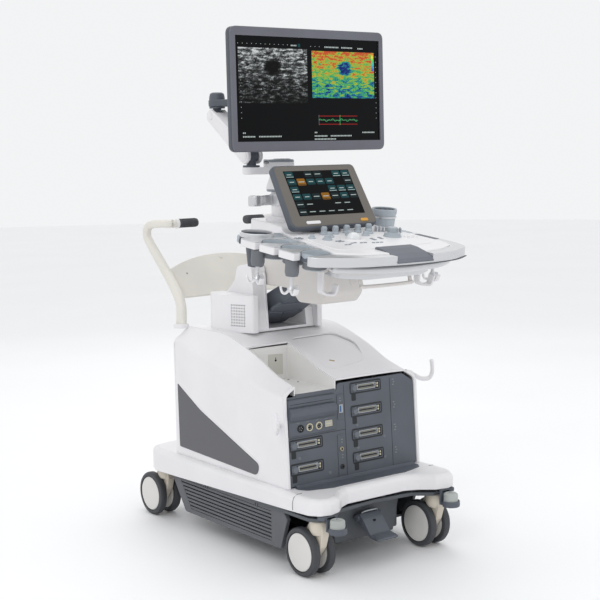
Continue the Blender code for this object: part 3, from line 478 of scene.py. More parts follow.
# Repeats --------------------------------------------------------------------
def grid_tree():
    """Node tree: repeats its own mesh over a grid of columns along x and rows along y."""
    tree = bpy.data.node_groups.new("repeat_grid", "GeometryNodeTree")
    face = tree.interface
    face.new_socket("Element", in_out="INPUT", socket_type="NodeSocketGeometry")
    for name, kind in (("Columns", "NodeSocketInt"), ("Rows", "NodeSocketInt"), ("Column Pitch",
            "NodeSocketFloat"), ("Row Pitch", "NodeSocketFloat"), ("Finish", "NodeSocketMaterial")):
        face.new_socket(name, in_out="INPUT", socket_type=kind)
    face.new_socket("Result", in_out="OUTPUT", socket_type="NodeSocketGeometry")
    start = node(tree, "NodeGroupInput")
    spans = []
    for count, pitch in (("Columns", "Column Pitch"), ("Rows", "Row Pitch")):
        gaps = node(tree, "ShaderNodeMath", {1: 1.0}, {0: start.outputs[count]}, operation="SUBTRACT")
        spans.append(node(tree, "ShaderNodeMath", None, {0: gaps.outputs[0], 1: start.outputs[pitch]},
            operation="MULTIPLY"))
    points = node(tree, "GeometryNodeMeshGrid", None, {"Size X": spans[0].outputs[0],
        "Size Y": spans[1].outputs[0], "Vertices X": start.outputs["Columns"],
        "Vertices Y": start.outputs["Rows"]})
    placed = node(tree, "GeometryNodeInstanceOnPoints", None, {"Points": points.outputs["Mesh"],
        "Instance": start.outputs["Element"]})
    real = node(tree, "GeometryNodeRealizeInstances", None, {"Geometry": placed.outputs[0]})
    paint = node(tree, "GeometryNodeSetMaterial", None, {"Geometry": real.outputs[0],
        "Material": start.outputs["Finish"]})
    node(tree, "NodeGroupOutput", None, {"Result": paint.outputs[0]})
    return tree


def ring_tree():
    """Node tree: repeats its own mesh around a circle, each copy turned to face outwards."""
    tree = bpy.data.node_groups.new("repeat_ring", "GeometryNodeTree")
    face = tree.interface
    face.new_socket("Element", in_out="INPUT", socket_type="NodeSocketGeometry")
    for name, kind in (("Count", "NodeSocketInt"), ("Radius", "NodeSocketFloat"), ("Finish",
            "NodeSocketMaterial")):
        face.new_socket(name, in_out="INPUT", socket_type=kind)
    face.new_socket("Result", in_out="OUTPUT", socket_type="NodeSocketGeometry")
    start = node(tree, "NodeGroupInput")
    circle = node(tree, "GeometryNodeMeshCircle", None, {"Vertices": start.outputs["Count"],
        "Radius": start.outputs["Radius"]})
    position = node(tree, "GeometryNodeInputPosition")
    turn = node(tree, "FunctionNodeAlignRotationToVector", None, {"Vector": position.outputs[0]},
        axis="X", pivot_axis="Z")
    placed = node(tree, "GeometryNodeInstanceOnPoints", None, {"Points": circle.outputs["Mesh"],
        "Instance": start.outputs["Element"], "Rotation": turn.outputs[0]})
    real = node(tree, "GeometryNodeRealizeInstances", None, {"Geometry": placed.outputs[0]})
    paint = node(tree, "GeometryNodeSetMaterial", None, {"Geometry": real.outputs[0],
        "Material": start.outputs["Finish"]})
    node(tree, "NodeGroupOutput", None, {"Result": paint.outputs[0]})
    return tree


def repeated(element, tree_name, place, finish, **inputs):
    """The element's mesh repeated by a node tree and then placed; returns one plain mesh."""
    make = {"repeat_grid": grid_tree, "repeat_ring": ring_tree}[tree_name]
    tree = bpy.data.node_groups.get(tree_name) or make()
    obj = bpy.data.objects.new("element", element)
    bpy.context.scene.collection.objects.link(obj)
    modifier = obj.modifiers.new("repeat", "NODES")
    modifier.node_group = tree
    values = {key.replace("_", " "): value for key, value in inputs.items()}
    values["Finish"] = FINISHES[finish]
    for socket in tree.interface.items_tree:
        if socket.in_out == "INPUT" and socket.name in values:
            modifier[socket.identifier] = values[socket.name]
    bpy.context.view_layer.update()
    graph = bpy.context.evaluated_depsgraph_get()
    mesh = bpy.data.meshes.new_from_object(obj.evaluated_get(graph))
    bpy.data.objects.remove(obj, do_unlink=True)
    mesh.transform(place)
    return mesh


def grid(element, columns, rows, pitch, place, finish):
    return repeated(element, "repeat_grid", place, finish, Columns=columns, Rows=rows,
        Column_Pitch=pitch[0], Row_Pitch=pitch[1])


# Shared places --------------------------------------------------------------
CORNERS = {"front_left": (-1, -.397), "front_right": (1, -.397), "rear_left": (-1, .323),
    "rear_right": (1, .323)}
SIDES = (("left", -1), ("right", 1))
DECK = moved((0, -.175, .845)) @ turned(radians(6.3), 4, "X")
PANEL = leaning((0, -.305, .2125), 3.5)
TOUCH = leaning((.006, -.23, .858), 32)
SCREEN = leaning((.0485, -.075, 1.052), 1)
ELBOW, WRIST = (-.08, .03, 1.041), (-.08, .19, 1.15)
TILT = (.0485, .012, 1.205)
CUP_X, CUP_Y, GEL_Y = -.213, (-.245, -.165, -.085), -.002
BAY_LOW, BAY_HIGH = Vector((-.183, -.2862, .4443)), Vector((-.055, -.085, .56))
STAND_UP = turned(radians(90), 4, "X")


# Casters and base -----------------------------------------------------------
def caster_fork(corner, side, swivel_y):
    x = side * .195
    profile = [(-.024, .14), (-.026, .112), (-.016, .08), (.01, .048), (.03, .04), (.05, .044),
        (.058, .0625), (.055, .09), (.03, .136), (.01, .149), (-.015, .149)]
    outline = rounded([(swivel_y + y, z) for y, z in profile], .012, 5)
    web = slab(outline, x - .0115, x + .0115, "x", .004, 4)
    collar = lathe([(0, .11), (.02, .112), (.025, .124), (.0245, .146), (.021, .1498), (0, .1498)],
        (x, swivel_y, 0))
    stem = rod((x, swivel_y, .14), "z", .03, .012)
    boss = lathe([(0, -.0128), (.0125, -.0128), (.0145, -.011), (.0145, .011), (.0125, .0128),
        (0, .0128)], (x, swivel_y + .037, .0625), "x")
    ridge = [(x + .0118, swivel_y + y, z) for y, z in ((-.02, .118), (.004, .098), (.02, .072),
        (.03, .052))]
    rib = sweep(smooth_path(ridge), even(.0016), 8)
    finished(f"fork_{corner}", f"caster_{corner}", [(web, "beige_nylon"), (collar, "beige_nylon"),
        (stem, "zinc_steel"), (boss, "beige_nylon"), (rib, "beige_nylon")], [f"caster_fork_{corner}"])


def caster_wheels(corner, side, swivel_y):
    centre = (side * .195, swivel_y + .037, .0625)
    parts = []
    for way in (-1, 1):
        tyre = [(.049, .0345), (.05, .0352), (.056, .035), (.06, .0335), (.0622, .03), (.0625, .024),
            (.0622, .018), (.06, .0145), (.056, .0132), (.049, .0135)]
        cap = [(0, .0358), (.03, .0357), (.044, .0352), (.0475, .0345), (.0486, .0332), (.049, .03),
            (.049, .014), (.018, .0145), (.006, .0132), (0, .0132)]
        for profile, finish, closed in ((tyre, "caster_tread", True), (cap, "hub_cap", False)):
            points = [(r, way * h) for r, h in profile]
            parts.append((lathe(points, centre, "x", 72, closed=closed), finish))
        groove = lathe([(.0487, way * .0342), (.0492, way * .0353), (.0502, way * .0353),
            (.0502, way * .0335), (.0487, way * .0335)], centre, "x", 72, closed=True)
        parts.append((groove, "dark_gap"))
    parts.append((rod((centre[0] - .014, centre[1], centre[2]), "x", .028, .0055), "zinc_steel"))
    finished(f"wheels_{corner}_tyres", f"wheels_{corner}", parts, [f"caster_wheels_{corner}"])


BASE_HALF = [(0.0, .365), (.165, .365), (.224, .35), (.243, .305), (.243, -.33), (.24, -.41),
    (.222, -.44), (.195, -.447), (.162, -.437), (.128, -.405), (.095, -.388), (0.0, -.388)]


def base_low(y):
    return .142 + (.365 - y) * .0347


def base_ring(inset, z=None, lift=0.0, outline=None):
    outline = outline or BASE_OUTLINE
    ring = []
    for i, here in enumerate(outline):
        before, after = Vector(outline[i - 1]), Vector(outline[(i + 1) % len(outline)])
        along = (after - before).normalized()
        x, y = Vector(here) + Vector((along.y, -along.x)) * inset
        ring.append((x, y, base_low(y) + lift if z is None else z))
    return ring


BASE_OUTLINE = rounded(mirrored(BASE_HALF), .022, 6)


def base_cover():
    top = .209
    rings = [base_ring(.006, lift=.014), base_ring(.004, lift=.001), base_ring(.0015), base_ring(0.0,
        lift=.0025), base_ring(0.0, .193), base_ring(.0008, .1975), base_ring(.003, .2018),
        base_ring(.0065, .2056), base_ring(.0115, .2082), base_ring(.015, top)]
    skin = rings_to_mesh(rings, caps=False)
    lid = slab([(x, y) for x, y, z in base_ring(.0152)], top - .003, top + .0002, edge=0)
    seam = [(-.2434, -.352, .171), (-.2436, -.352, .19), (-.2405, -.353, .2025), (-.228, -.353, .2094),
        (-.214, -.353, .2098)]
    line = sweep(seam, even(.0005), 6, wide=(0, 1, 0))
    seams = [(line, "dark_gap"), (sweep([(-x, y, z) for x, y, z in seam], even(.0005), 6, wide=(0, 1,
        0)), "dark_gap")]
    finished("base_moulding", "cart", [(skin, "white_abs"), (lid, "white_abs")] + seams, ["base_cover"])
    half = [(0.0, -.304), (.2, -.304), (.203, -.322), (.188, -.345), (.15, -.356), (.118, -.364),
        (.09, -.362), (0.0, -.362)]
    tray = rounded(mirrored(half)[::-1], .016, 5)
    ledge = slab(tray, .2086, .2103, edge=.0006)
    fillet = slab([(-.307, .2103), (-.307, .216), (-.3125, .212), (-.319, .2103)], -.198, .198, "x", 0)
    finished("front_ledge", "cart", [(ledge, "dark_grey_abs"), (fillet, "dark_grey_abs")])


def vent_skirts():
    outer = rounded([(.18, .047), (.243, .135), (.243, .149), (-.285, .149), (-.3, .13), (-.27, .047)],
        .01, 4)
    for name, side in SIDES:
        face = side * .222
        plate = slab(outer, *sorted((side * .21, face)), "x", .002)
        window = [(.15, .06), (.205, .139), (-.232, .139), (-.232, .06)]
        low, high = sorted((side * .215, side * .23))
        plate = carved(plate, [slab(rounded(window, .004, 2), low, high, "x", 0)])
        bars = []
        for k in range(8):
            z = .064 + .01 * k
            rear = .15 + (z - .06) * .7
            tilt = [(z - .003), (z + .0036)]
            section = [(-.233, tilt[0]), (rear, tilt[0]), (rear + .002, tilt[1]), (-.233, tilt[1])]
            bars.append((slab(section, *sorted((side * .2152, side * .2215)), "x", .0008, 2),
                "louvre_grey"))
        latches = []
        for y, z in ((.072, .1435), (-.165, .1445)):
            x = side * .2225
            latches.append((rod((min(x, x + side * .002), y, z), "x", .002, .0075, .0005),
                "louvre_grey"))
            latches.append((block((x - .0028, y - .0012, z - .006), (x + .0028, y + .0012, z + .006),
                .0004), "dark_gap"))
        finished(f"vent_louvres_{name}", "cart", [(plate, "louvre_grey")] + bars + latches,
            [f"vent_skirt_{name}"])


def chassis():
    half = [(0.0, .352), (.16, .352), (.214, .338), (.232, .298), (.232, -.4), (.214, -.428),
        (.165, -.424), (.12, -.388), (0.0, -.376)]
    plate = slab(rounded(mirrored(half), .012, 4), .1503, .1597, edge=.001)
    skirt = rounded([(-.098, .052), (.098, .052), (.122, .156), (-.122, .156)], .006)
    parts = [(plate, "chassis_coat"), (slab(skirt, -.3395, -.329, "y", .0025), "chassis_coat"),
        (block((-.2065, -.27, .056), (.2065, .18, .0635), .001), "chassis_coat")]
    for side in (-1, 1):
        rail = sorted((side * .088, side * .1))
        parts.append((block((rail[0], -.33, .06), (rail[1], .2, .152), .002), "chassis_coat"))
        cheek = rounded([(-.332, .056), (-.332, .152), (-.286, .152), (-.262, .12), (-.258, .056)],
            .008)
        parts.append((slab(cheek, *sorted((side * .1, side * .118)), "x", .002), "chassis_coat"))
    finished("undercarriage", "cart", parts, ["chassis"])


def bumpers():
    for name, side in SIDES:
        x, y = side * .19, -.463
        view = [(-.421, .1602), (-.421, .168), (-.44, .168), (-.442, .164), (-.442, .1335),
            (-.478, .1335), (-.478, .128), (-.436, .128), (-.436, .1602)]
        arm = slab(rounded(view, .001, 2), x - .016, x + .016, "x", .0012)
        lip_route = [(x + side * .0195 * cos(a) * 1.12, y - .0205 * sin(a) * 1.1, .1345)
            for a in [radians(d) for d in range(-20, 201, 20)]]
        lip = sweep(lip_route, even(.0078, .0016), 12, wide=(0, 0, 1), corner=.6)
        wing = slab(rounded([(x - side * .016, -.4225), (x + side * .034, -.4225), (x + side * .03,
            -.448), (x + side * .016, -.442), (x - side * .016, -.442)], .006), .158, .1685, edge=.002)
        pin = rod((x, y, .13), "z", .035, .0045)
        parts = [(arm, "dark_grey_abs"), (lip, "dark_grey_abs"), (wing, "dark_grey_abs"),
            (pin, "zinc_steel")]
        finished(f"bumper_arm_{name}", "cart", parts, [f"bumper_bracket_{name}"])
        roller = [(.006, .0145), (.015, .016), (.0178, .014), (.0188, .01), (.019, -.011),
            (.016, -.013), (.006, -.013)]
        cap = [(0, .0172), (.0075, .017), (.0095, .016), (.0095, .0148), (.0062, .014), (0, .014)]
        finished(f"bumper_wheel_{name}", f"roller_{name}", [(lathe(roller, (x, y, .146), closed=True),
            "roller_grey"), (lathe(cap, (x, y, .146)), "roller_grey")], [f"bumper_roller_{name}"])


def brake_pedal():
    tread = rounded([(-.346, .124), (-.342, .106), (-.398, .068), (-.432, .066), (-.434, .073),
        (-.402, .078), (-.372, .112), (-.358, .124)], .004, 4)
    parts = [(slab(tread, -.034, .034, "x", .0025), "dark_grey_abs"), (rod((-.04, -.352, .112), "x",
        .08, .0092), "dark_grey_abs")]
    rib = block((-.0285, -.0016, -.001), (.0285, .0016, .001), .0008)
    slope = moved((0, -.417, .076)) @ turned(radians(9), 4, "X")
    parts.append((grid(rib, 1, 4, (.01, .0065), slope, "dark_grey_abs"), "dark_grey_abs"))
    link = [(-.026, -.358, .125), (-.018, -.362, .129), (.018, -.362, .129), (.026, -.358, .125)]
    parts.append((sweep(smooth_path(link), even(.0024), 10, wide=(0, 0, 1)), "zinc_steel"))
    parts.append((rod((0.0, -.379, .105), "z", .0035, .0035, .0005), "dark_gap"))
    finished("brake_tread", "pedal", parts, ["brake_pedal"])


# Body -----------------------------------------------------------------------
BODY_STATIONS = [(.215, .21, .535, .557), (.2, .19, .532, .567), (.09, .09, .507, .567), (.02, .02,
    .493, .565), (-.035, -.035, .483, .553), (-.093, -.093, .472, .535), (-.148, -.148, .462, .515),
    (-.213, -.213, .451, .486), (-.305, -.2905, .441, .464)]
BODY_LOW = .2095


def body_station(t):
    """(y at the base, y at the crest, crease height, crest height) at t from rear to front."""
    place = t * (len(BODY_STATIONS) - 1)
    i = min(int(place), len(BODY_STATIONS) - 2)
    u = place - i
    a, b = BODY_STATIONS[max(i - 1, 0)], BODY_STATIONS[i]
    c, d = BODY_STATIONS[i + 1], BODY_STATIONS[min(i + 2, len(BODY_STATIONS) - 1)]
    return [.5 * (2 * q + (r - p) * u + (2 * p - 5 * q + 4 * r - s) * u**2 + (3 * q - p - 3 * r + s)
        * u**3) for p, q, r, s in zip(a, b, c, d)]


def body_line(part, steps=44):
    """Rings of the body's skin for one cover: its side (right hand) or its top."""
    rings = []
    for k in range(steps + 1):
        base_y, crest_y, crease, crest = body_station(k / steps)
        lean = (crest_y - base_y) * (crease - BODY_LOW) / (crest - BODY_LOW)
        side = [Vector((.223, base_y, BODY_LOW)), Vector((.2252, base_y + lean, crease)),
            Vector((.1875, crest_y, crest + .0003))]
        if part == "side":
            ring = [side[0], side[0].lerp(side[1], .5)]
            for step in range(7):
                t = step / 6
                start = side[1].lerp(side[0], .03)
                end = side[1].lerp(side[2], .16)
                ring.append(start * (1 - t) ** 2 + side[1] * 2 * t * (1 - t) + end * t**2)
            ring += [side[1].lerp(side[2], .6), side[1].lerp(side[2], .93)]
            ring.append(Vector((.1872, crest_y, crest + .0006)))
        else:
            ring = [Vector((.1864 * cos(pi * j / 24), crest_y, crest + .001 + .004 * sin(pi * j
                / 24) ** .8)) for j in range(25)]
        rings.append(ring)
    return rings


def walled(rings, thickness):
    """An open skin given a wall on its inner side, with softened edges."""
    skin = rings_to_mesh(rings, caps=False, cyclic=False)
    bm = bmesh.new()
    bm.from_mesh(skin)
    inner = Vector((0, 0, .35))
    outward = sum((f.normal.dot(f.calc_center_median() - inner) * f.calc_area() for f in bm.faces))
    if outward < 0:
        bmesh.ops.reverse_faces(bm, faces=bm.faces)
    bm.to_mesh(skin)
    bm.free()
    return temporary(skin, [("SOLIDIFY", {"thickness": thickness, "offset": -1.0,
        "use_even_offset": True}), ("BEVEL", {"width": .0008, "segments": 2, "limit_method": "ANGLE",
        "angle_limit": radians(60)})])


def side_skin(side):
    rings = [[Vector((side * p.x, p.y, p.z)) for p in ring] for ring in body_line("side")]
    return walled(rings, .0045)


def inlay(side):
    """The long grey wedge let into the side cover."""
    corners = [(.202, .411), (.197, .232), (-.176, .221), (-.186, .251), (-.055, .299), (.089, .352)]
    outline = rounded(corners, [.003, .006, .02, .018, .2, .25], 8)
    return slab(outline, *sorted((side * .22, side * .2255)), "x", .0012)


def front_pillar(side):
    """The rounded front edge of a side cover, which frames the port panel."""
    lean = tan(radians(3.5))
    path = [(side * .2185, -.3035 + (z - BODY_LOW) * lean * .95, z) for z in (.21, .27, .33, .39, .428)]
    path += [(side * .2165, -.2893, .443), (side * .206, -.288, .453), (side * .19, -.2872, .462)]
    return sweep(smooth_path(path, 4), even(.005, .0055), 14, corner=.7)


def body_covers():
    for name, side in SIDES:
        parts = [(side_skin(side), "white_abs"), (inlay(side), "inlay_grey"), (front_pillar(side),
            "white_abs")]
        finished(f"body_side_{name}", "cart", parts, [f"side_cover_{name}"])
    outline = [(.223, .2095), (.2248, .528), (.187, .556)]
    ring = outline + [(-x, z) for x, z in reversed(outline)]
    rear = slab(rounded(ring, [0, .012, .01, .01, .012, 0], 4), .2135, .2185, "y", .0015)
    slot = block((-.03, -.0012, -.002), (.03, .0012, .002), .0008)
    vents = grid(slot, 3, 9, (.09, .012), moved((0, .2186, .44)) @ STAND_UP, "dark_gap")
    inlet = block((-.11, .215, .25), (-.06, .221, .282), .002)
    socket = block((-.104, .22, .255), (-.066, .2216, .277), .001)
    handle = block((.06, .217, .245), (.15, .22, .3), .003)
    finished("body_rear", "cart", [(rear, "white_abs"), (vents, "dark_gap"), (inlet, "dark_grey_abs"),
        (socket, "dark_gap"), (handle, "mid_grey_abs")], ["rear_cover"])
    top_cover()


def top_cover():
    rings = body_line("top")
    skin = walled(rings, .0045)
    hole = block(BAY_LOW - Vector((.0031, .05, .02)), BAY_HIGH + Vector((.0031, .0031, .1)), 0)
    dish = rounded([(-.03, -.245), (.115, -.215), (.15, -.12), (.12, -.055), (-.03, -.06)], [.03, .06,
        .06, .03, .02], 8)
    slope = moved((0, -.15, .515)) @ turned(radians(19), 4, "X")
    slope = slope @ moved((0, .15, 0))
    hollow = slab(dish, -.0014, .05, edge=0.0, place=slope)
    skin = carved(skin, [hole, hollow])
    view = [(BAY_LOW.y - .002, .4413), (BAY_HIGH.y + .003, .4413), (BAY_HIGH.y + .003, .533)]
    crest = [(r[12].y, r[12].z) for r in rings if BAY_LOW.y < r[12].y < BAY_HIGH.y]
    view += [(y, z - .0045) for y, z in crest] + [(BAY_LOW.y - .002, .465)]
    lining = slab(view, BAY_LOW.x - .003, BAY_HIGH.x + .003, "x", 0.0)
    lining = carved(lining, [block(BAY_LOW - Vector((0, .05, 0)), BAY_HIGH + Vector((0, 0, .1)), 0)])
    parts = [(skin, "white_abs"), (lining, "bay_sheet"), (slab(dish, -.0065, -.0013, edge=0.0,
        place=slope), "white_abs")]
    floor_lip = block((BAY_LOW.x, BAY_LOW.y - .0045, .438), (BAY_HIGH.x, BAY_LOW.y, .445), .001)
    parts.append((floor_lip, "dark_grey_abs"))
    plate = slab(rounded([(-.118, .458), (-.07, .458), (-.07, .512), (-.118, .515)], .001), BAY_HIGH.y
        - .0012, BAY_HIGH.y - .0002, "y", .0002)
    parts.append((plate, "bay_plate"))
    keyholes = []
    for x, z in ((-.158, .5), (-.094, .497)):
        keyholes.append(rod((x, BAY_HIGH.y - .0018, z), "y", .0015, .0032, .0002, 16))
        keyholes.append(rod((x, BAY_HIGH.y - .0018, z + .006), "y", .0015, .0017, .0002, 12))
    for x, y in ((-.066, -.105), (-.068, -.15), (-.16, -.21)):
        keyholes.append(rod((x, y, .444), "z", .0008, .003, .0002, 16))
    parts += [(mesh, "dark_gap") for mesh in keyholes]
    vee = [(.004, -.196), (.016, -.204), (.02, -.199), (.008, -.192)]
    parts.append((slab(vee, -.002, -.0009, edge=.0001, place=slope), "brass_mark"))
    finished("body_top", "cart", parts, ["top_cover"])


# Port panel -----------------------------------------------------------------
def port_places():
    right = [(.045, .043 + k * .061) for k in range(4)]
    return right + [(-.158, .043 + k * .061) for k in range(2)]


def probe_socket(x, z):
    """One probe socket: recess, lock knob with its slot, shell with two rows of contacts."""
    low, high = z - .0105, z + .0105
    surround = rect(x - .052, low - .005, x + .054, high + .005)
    ring = slab(rounded(surround, .006, 4), -.001, .0002, "y", .0004, place=PANEL)
    hole = block((x - .049, -.01, low), (x + .049, .02, high), 0, PANEL)
    parts = [(carved(ring, [hole]), "recess_shadow")]
    back = block((x - .049, .0035, low), (x + .049, .0055, high), 0, PANEL)
    parts.append((back, "dark_gap"))
    frame = carved(block((x - .05, -.0012, low - .0012), (x + .05, .004, high + .0012), .0008, PANEL),
        [block((x - .0475, -.01, low + .0012), (x + .0475, .02, high - .0012), 0, PANEL)])
    parts.append((frame, "dark_grey_abs"))
    shell = [(x - .026, z - .008), (x + .036, z - .008), (x + .038, z + .008), (x - .028, z + .008)]
    outer = slab(rounded(shell, .003, 3), .0005, .006, "y", .0004, place=PANEL)
    inner = [(u, z + (v - z) * .72) for u, v in [(x - .0235, z - .008), (x + .0335, z - .008),
        (x + .0355, z + .008), (x - .0255, z + .008)]]
    parts.append((carved(outer, [slab(rounded(inner, .002, 3), -.01, .003, "y", 0, place=PANEL)]),
        "connector_shell"))
    core = block((x - .021, .0009, z - .0019), (x + .031, .0042, z + .0019), .0005, PANEL)
    parts.append((core, "connector_black"))
    pin = block((-.0006, -.0009, -.001), (.0006, .0009, .001), 0.0)
    for shift in (-.004, .004):
        place = PANEL @ moved((x + .005, .0022, z + shift)) @ STAND_UP
        parts.append((grid(pin.copy(), 22, 1, (.0024, .001), place, "contact_gold"), "contact_gold"))
    for step in (-.0037, .0037):
        key = block((x + .0405, .0002, z + step - .0027), (x + .045, .005, z + step + .0027), .0006,
            PANEL)
        parts.append((key, "connector_cream"))
    knob = lathe([(0, .0085), (.007, .0083), (.0086, .007), (.0092, .004), (.0105, .003),
        (.0105, -.001), (0, -.001)], (0, 0, 0), "z", 36, PANEL @ moved((x - .0395, .0005, z))
        @ STAND_UP)
    parts.append((knob, "lock_knob"))
    slot = slab(rounded(rect(x - .0475, z - .033, x - .033, z - .009), .003, 3), -.0006, .0002, "y",
        .0003, place=PANEL)
    parts.append((slot, "recess_shadow"))
    return parts


def port_panel():
    step, top = .228, .2455
    outline = [(-.2165, 0.0), (.2165, 0.0), (.2165, .2165), (.197, .232), (.176, top), (-.048, top),
        (-.051, step), (-.2165, step)]
    curve = [.004, .004, .02, .03, .02, .01, .002, .002]
    panel = slab(rounded(outline, curve, 6), 0.0, .004, "y", .0012, place=PANEL)
    holes = [block((x - .049, -.01, z - .0105), (x + .049, .02, z + .0105), 0, PANEL) for x,
        z in port_places()]
    holes.append(block((-.2125, -.01, .1275), (-.0615, .02, .2225), 0, PANEL))
    parts = [(carved(panel, holes), "dark_grey_abs")]
    for x, z in port_places():
        parts += probe_socket(x, z)
        for k in range(3 if x > 0 else 0):
            mark = block((x + .093 + .003 * (k % 2), -.0006, z + .006 - .007 * k),
                (x + .099 + .002 * (k % 2), -.0001, z + .009 - .007 * k), .0001, PANEL)
            parts.append((mark, "print_grey"))
    strip = slab(rounded(rect(-.056, .006, -.033, .112), .003, 3), -.0016, .001, "y", .0008,
        place=PANEL)
    hub = slab(rounded(rect(-.052, .15, -.03, .216), .003, 3), -.0016, .001, "y", .0008, place=PANEL)
    parts += [(strip, "dark_grey_abs"), (hub, "dark_grey_abs")]
    for x in (-.0275, .13):
        parts.append((slab(rect(x - .0005, .002, x + .0005, top - .006), -.0004, .0001, "y", 0,
            place=PANEL), "recess_shadow"))
    parts.append((slab(rect(-.216, .1225, -.029, .1235), -.0004, .0001, "y", 0, place=PANEL),
        "recess_shadow"))
    for z in (.028, .074):
        jack = lathe([(.003, .003), (.0056, .003), (.0066, .0018), (.0066, 0.0), (.003, 0.0)],
            (0, 0, 0), "z", 28, PANEL @ moved((-.0445, -.0012, z)) @ STAND_UP, True)
        parts.append((jack, "contact_gold" if z > .05 else "connector_black"))
        parts.append((rod((0, 0, .0002), "z", .0012, .0031, .0002, 20, PANEL @ moved((-.0445, -.0014,
            z)) @ STAND_UP), "dark_gap"))
    parts.append((block((-.0475, -.003, .168), (-.0345, -.0012, .19), .0006, PANEL), "connector_shell"))
    parts.append((block((-.045, -.0038, .171), (-.0405, -.0022, .187), .0003, PANEL), "usb_blue"))
    for x, z in ((.103, .03), (.103, .086), (.012, .068), (.012, .128), (-.085, .018), (-.18, .07)):
        screw = lathe([(0, .0013), (.0038, .001), (.0046, 0.0), (0, -.001)], (0, 0, 0), "z", 24,
            PANEL @ moved((x, 0.0, z)) @ STAND_UP)
        parts.append((screw, "lock_knob"))
    for k, z in enumerate((.205, .198, .09, .097, .05, .057)):
        parts.append((block((-.045, -.0021, z), (-.0405 + .001 * (k % 2), -.0015, z + .003), .0001,
            PANEL), "print_grey"))
    finished("port_plate", "cart", parts, ["port_panel", "port_board"])


def drive_unit():
    base = PANEL @ moved((0, -.004, 0))
    parts = [(carved(block((-.212, 0.0, .128), (-.062, .11, .222), .001, base),
        [block((-.207, .006, .1325), (-.067, .15, .2175), 0, base)]), "dark_grey_abs")]
    parts.append((block((-.2105, -.0016, .202), (-.064, .002, .2205), .0015, base), "dark_grey_abs"))
    parts.append((block((-.206, -.0021, .2085), (-.07, -.001, .2095), .0002, base), "dark_gap"))
    view = [(0.0, .2005), (-.0075, .199), (-.0125, .192), (-.0122, .18), (-.006, .169), (0.0, .168)]
    flap = slab(rounded(view, .003, 4), -.2105, -.0635, "x", .001, place=base)
    parts.append((flap, "dark_grey_abs"))
    parts.append((block((-.21, -.0009, .129), (-.064, .002, .165), .0012, base), "dark_grey_abs"))
    for k, x in enumerate((-.176, -.148, -.118)):
        place = base @ moved((x, -.0008, .146)) @ STAND_UP
        ring = lathe([(.0072, .0028), (.0095, .0028), (.01, .0018), (.01, 0.0), (.0072, 0.0)],
            (0, 0, 0), "z", 36, place, True)
        parts.append((ring, "connector_black" if k == 0 else "connector_cream"))
        parts.append((rod((0, 0, 0), "z", .0012, .0072, .0002, 28, place), "dark_gap"))
        dot = rod((0, 0, .001), "z", .001, .0011, .0001, 12)
        parts.append((repeated(dot, "repeat_ring", place, "connector_shell", Count=5, Radius=.0042),
            "connector_shell"))
    place = base @ moved((-.086, -.0012, .1475)) @ STAND_UP
    parts.append((block((-.0975, -.003, .1395), (-.0745, -.0005, .1555), .002, base),
        "connector_cream"))
    square = block((-.0024, -.0024, 0.0), (.0024, .0024, .0022), .0004)
    parts.append((grid(square, 3, 2, (.0068, .007), place, "connector_shell"), "connector_shell"))
    mark = block((-.0045, -.0006, 0.0), (.0045, .0006, .0003), 0.0)
    place = base @ moved((-.138, -.0009, .161)) @ STAND_UP
    parts.append((grid(mark, 4, 1, (.03, .01), place, "print_grey"), "print_grey"))
    finished("drive_front", "cart", parts, ["drive_unit"])


# Handle ---------------------------------------------------------------------
ARM_ROUTE = [(.2, .214, .568), (.2, .214, .63), (.2, .25, .68), (.2, .303, .73), (.202, .36, .785),
    (.203, .383, .815), (.202, .372, .842), (.192, .335, .85), (.176, .305, .85), (.148, .303, .85)]


def arm_size(t):
    """Half widths of a handle arm: broad at its foot, near round at its grip."""
    broad = .0185 - .007 * min(t / .55, 1.0)
    return .0115, max(broad, .0115)


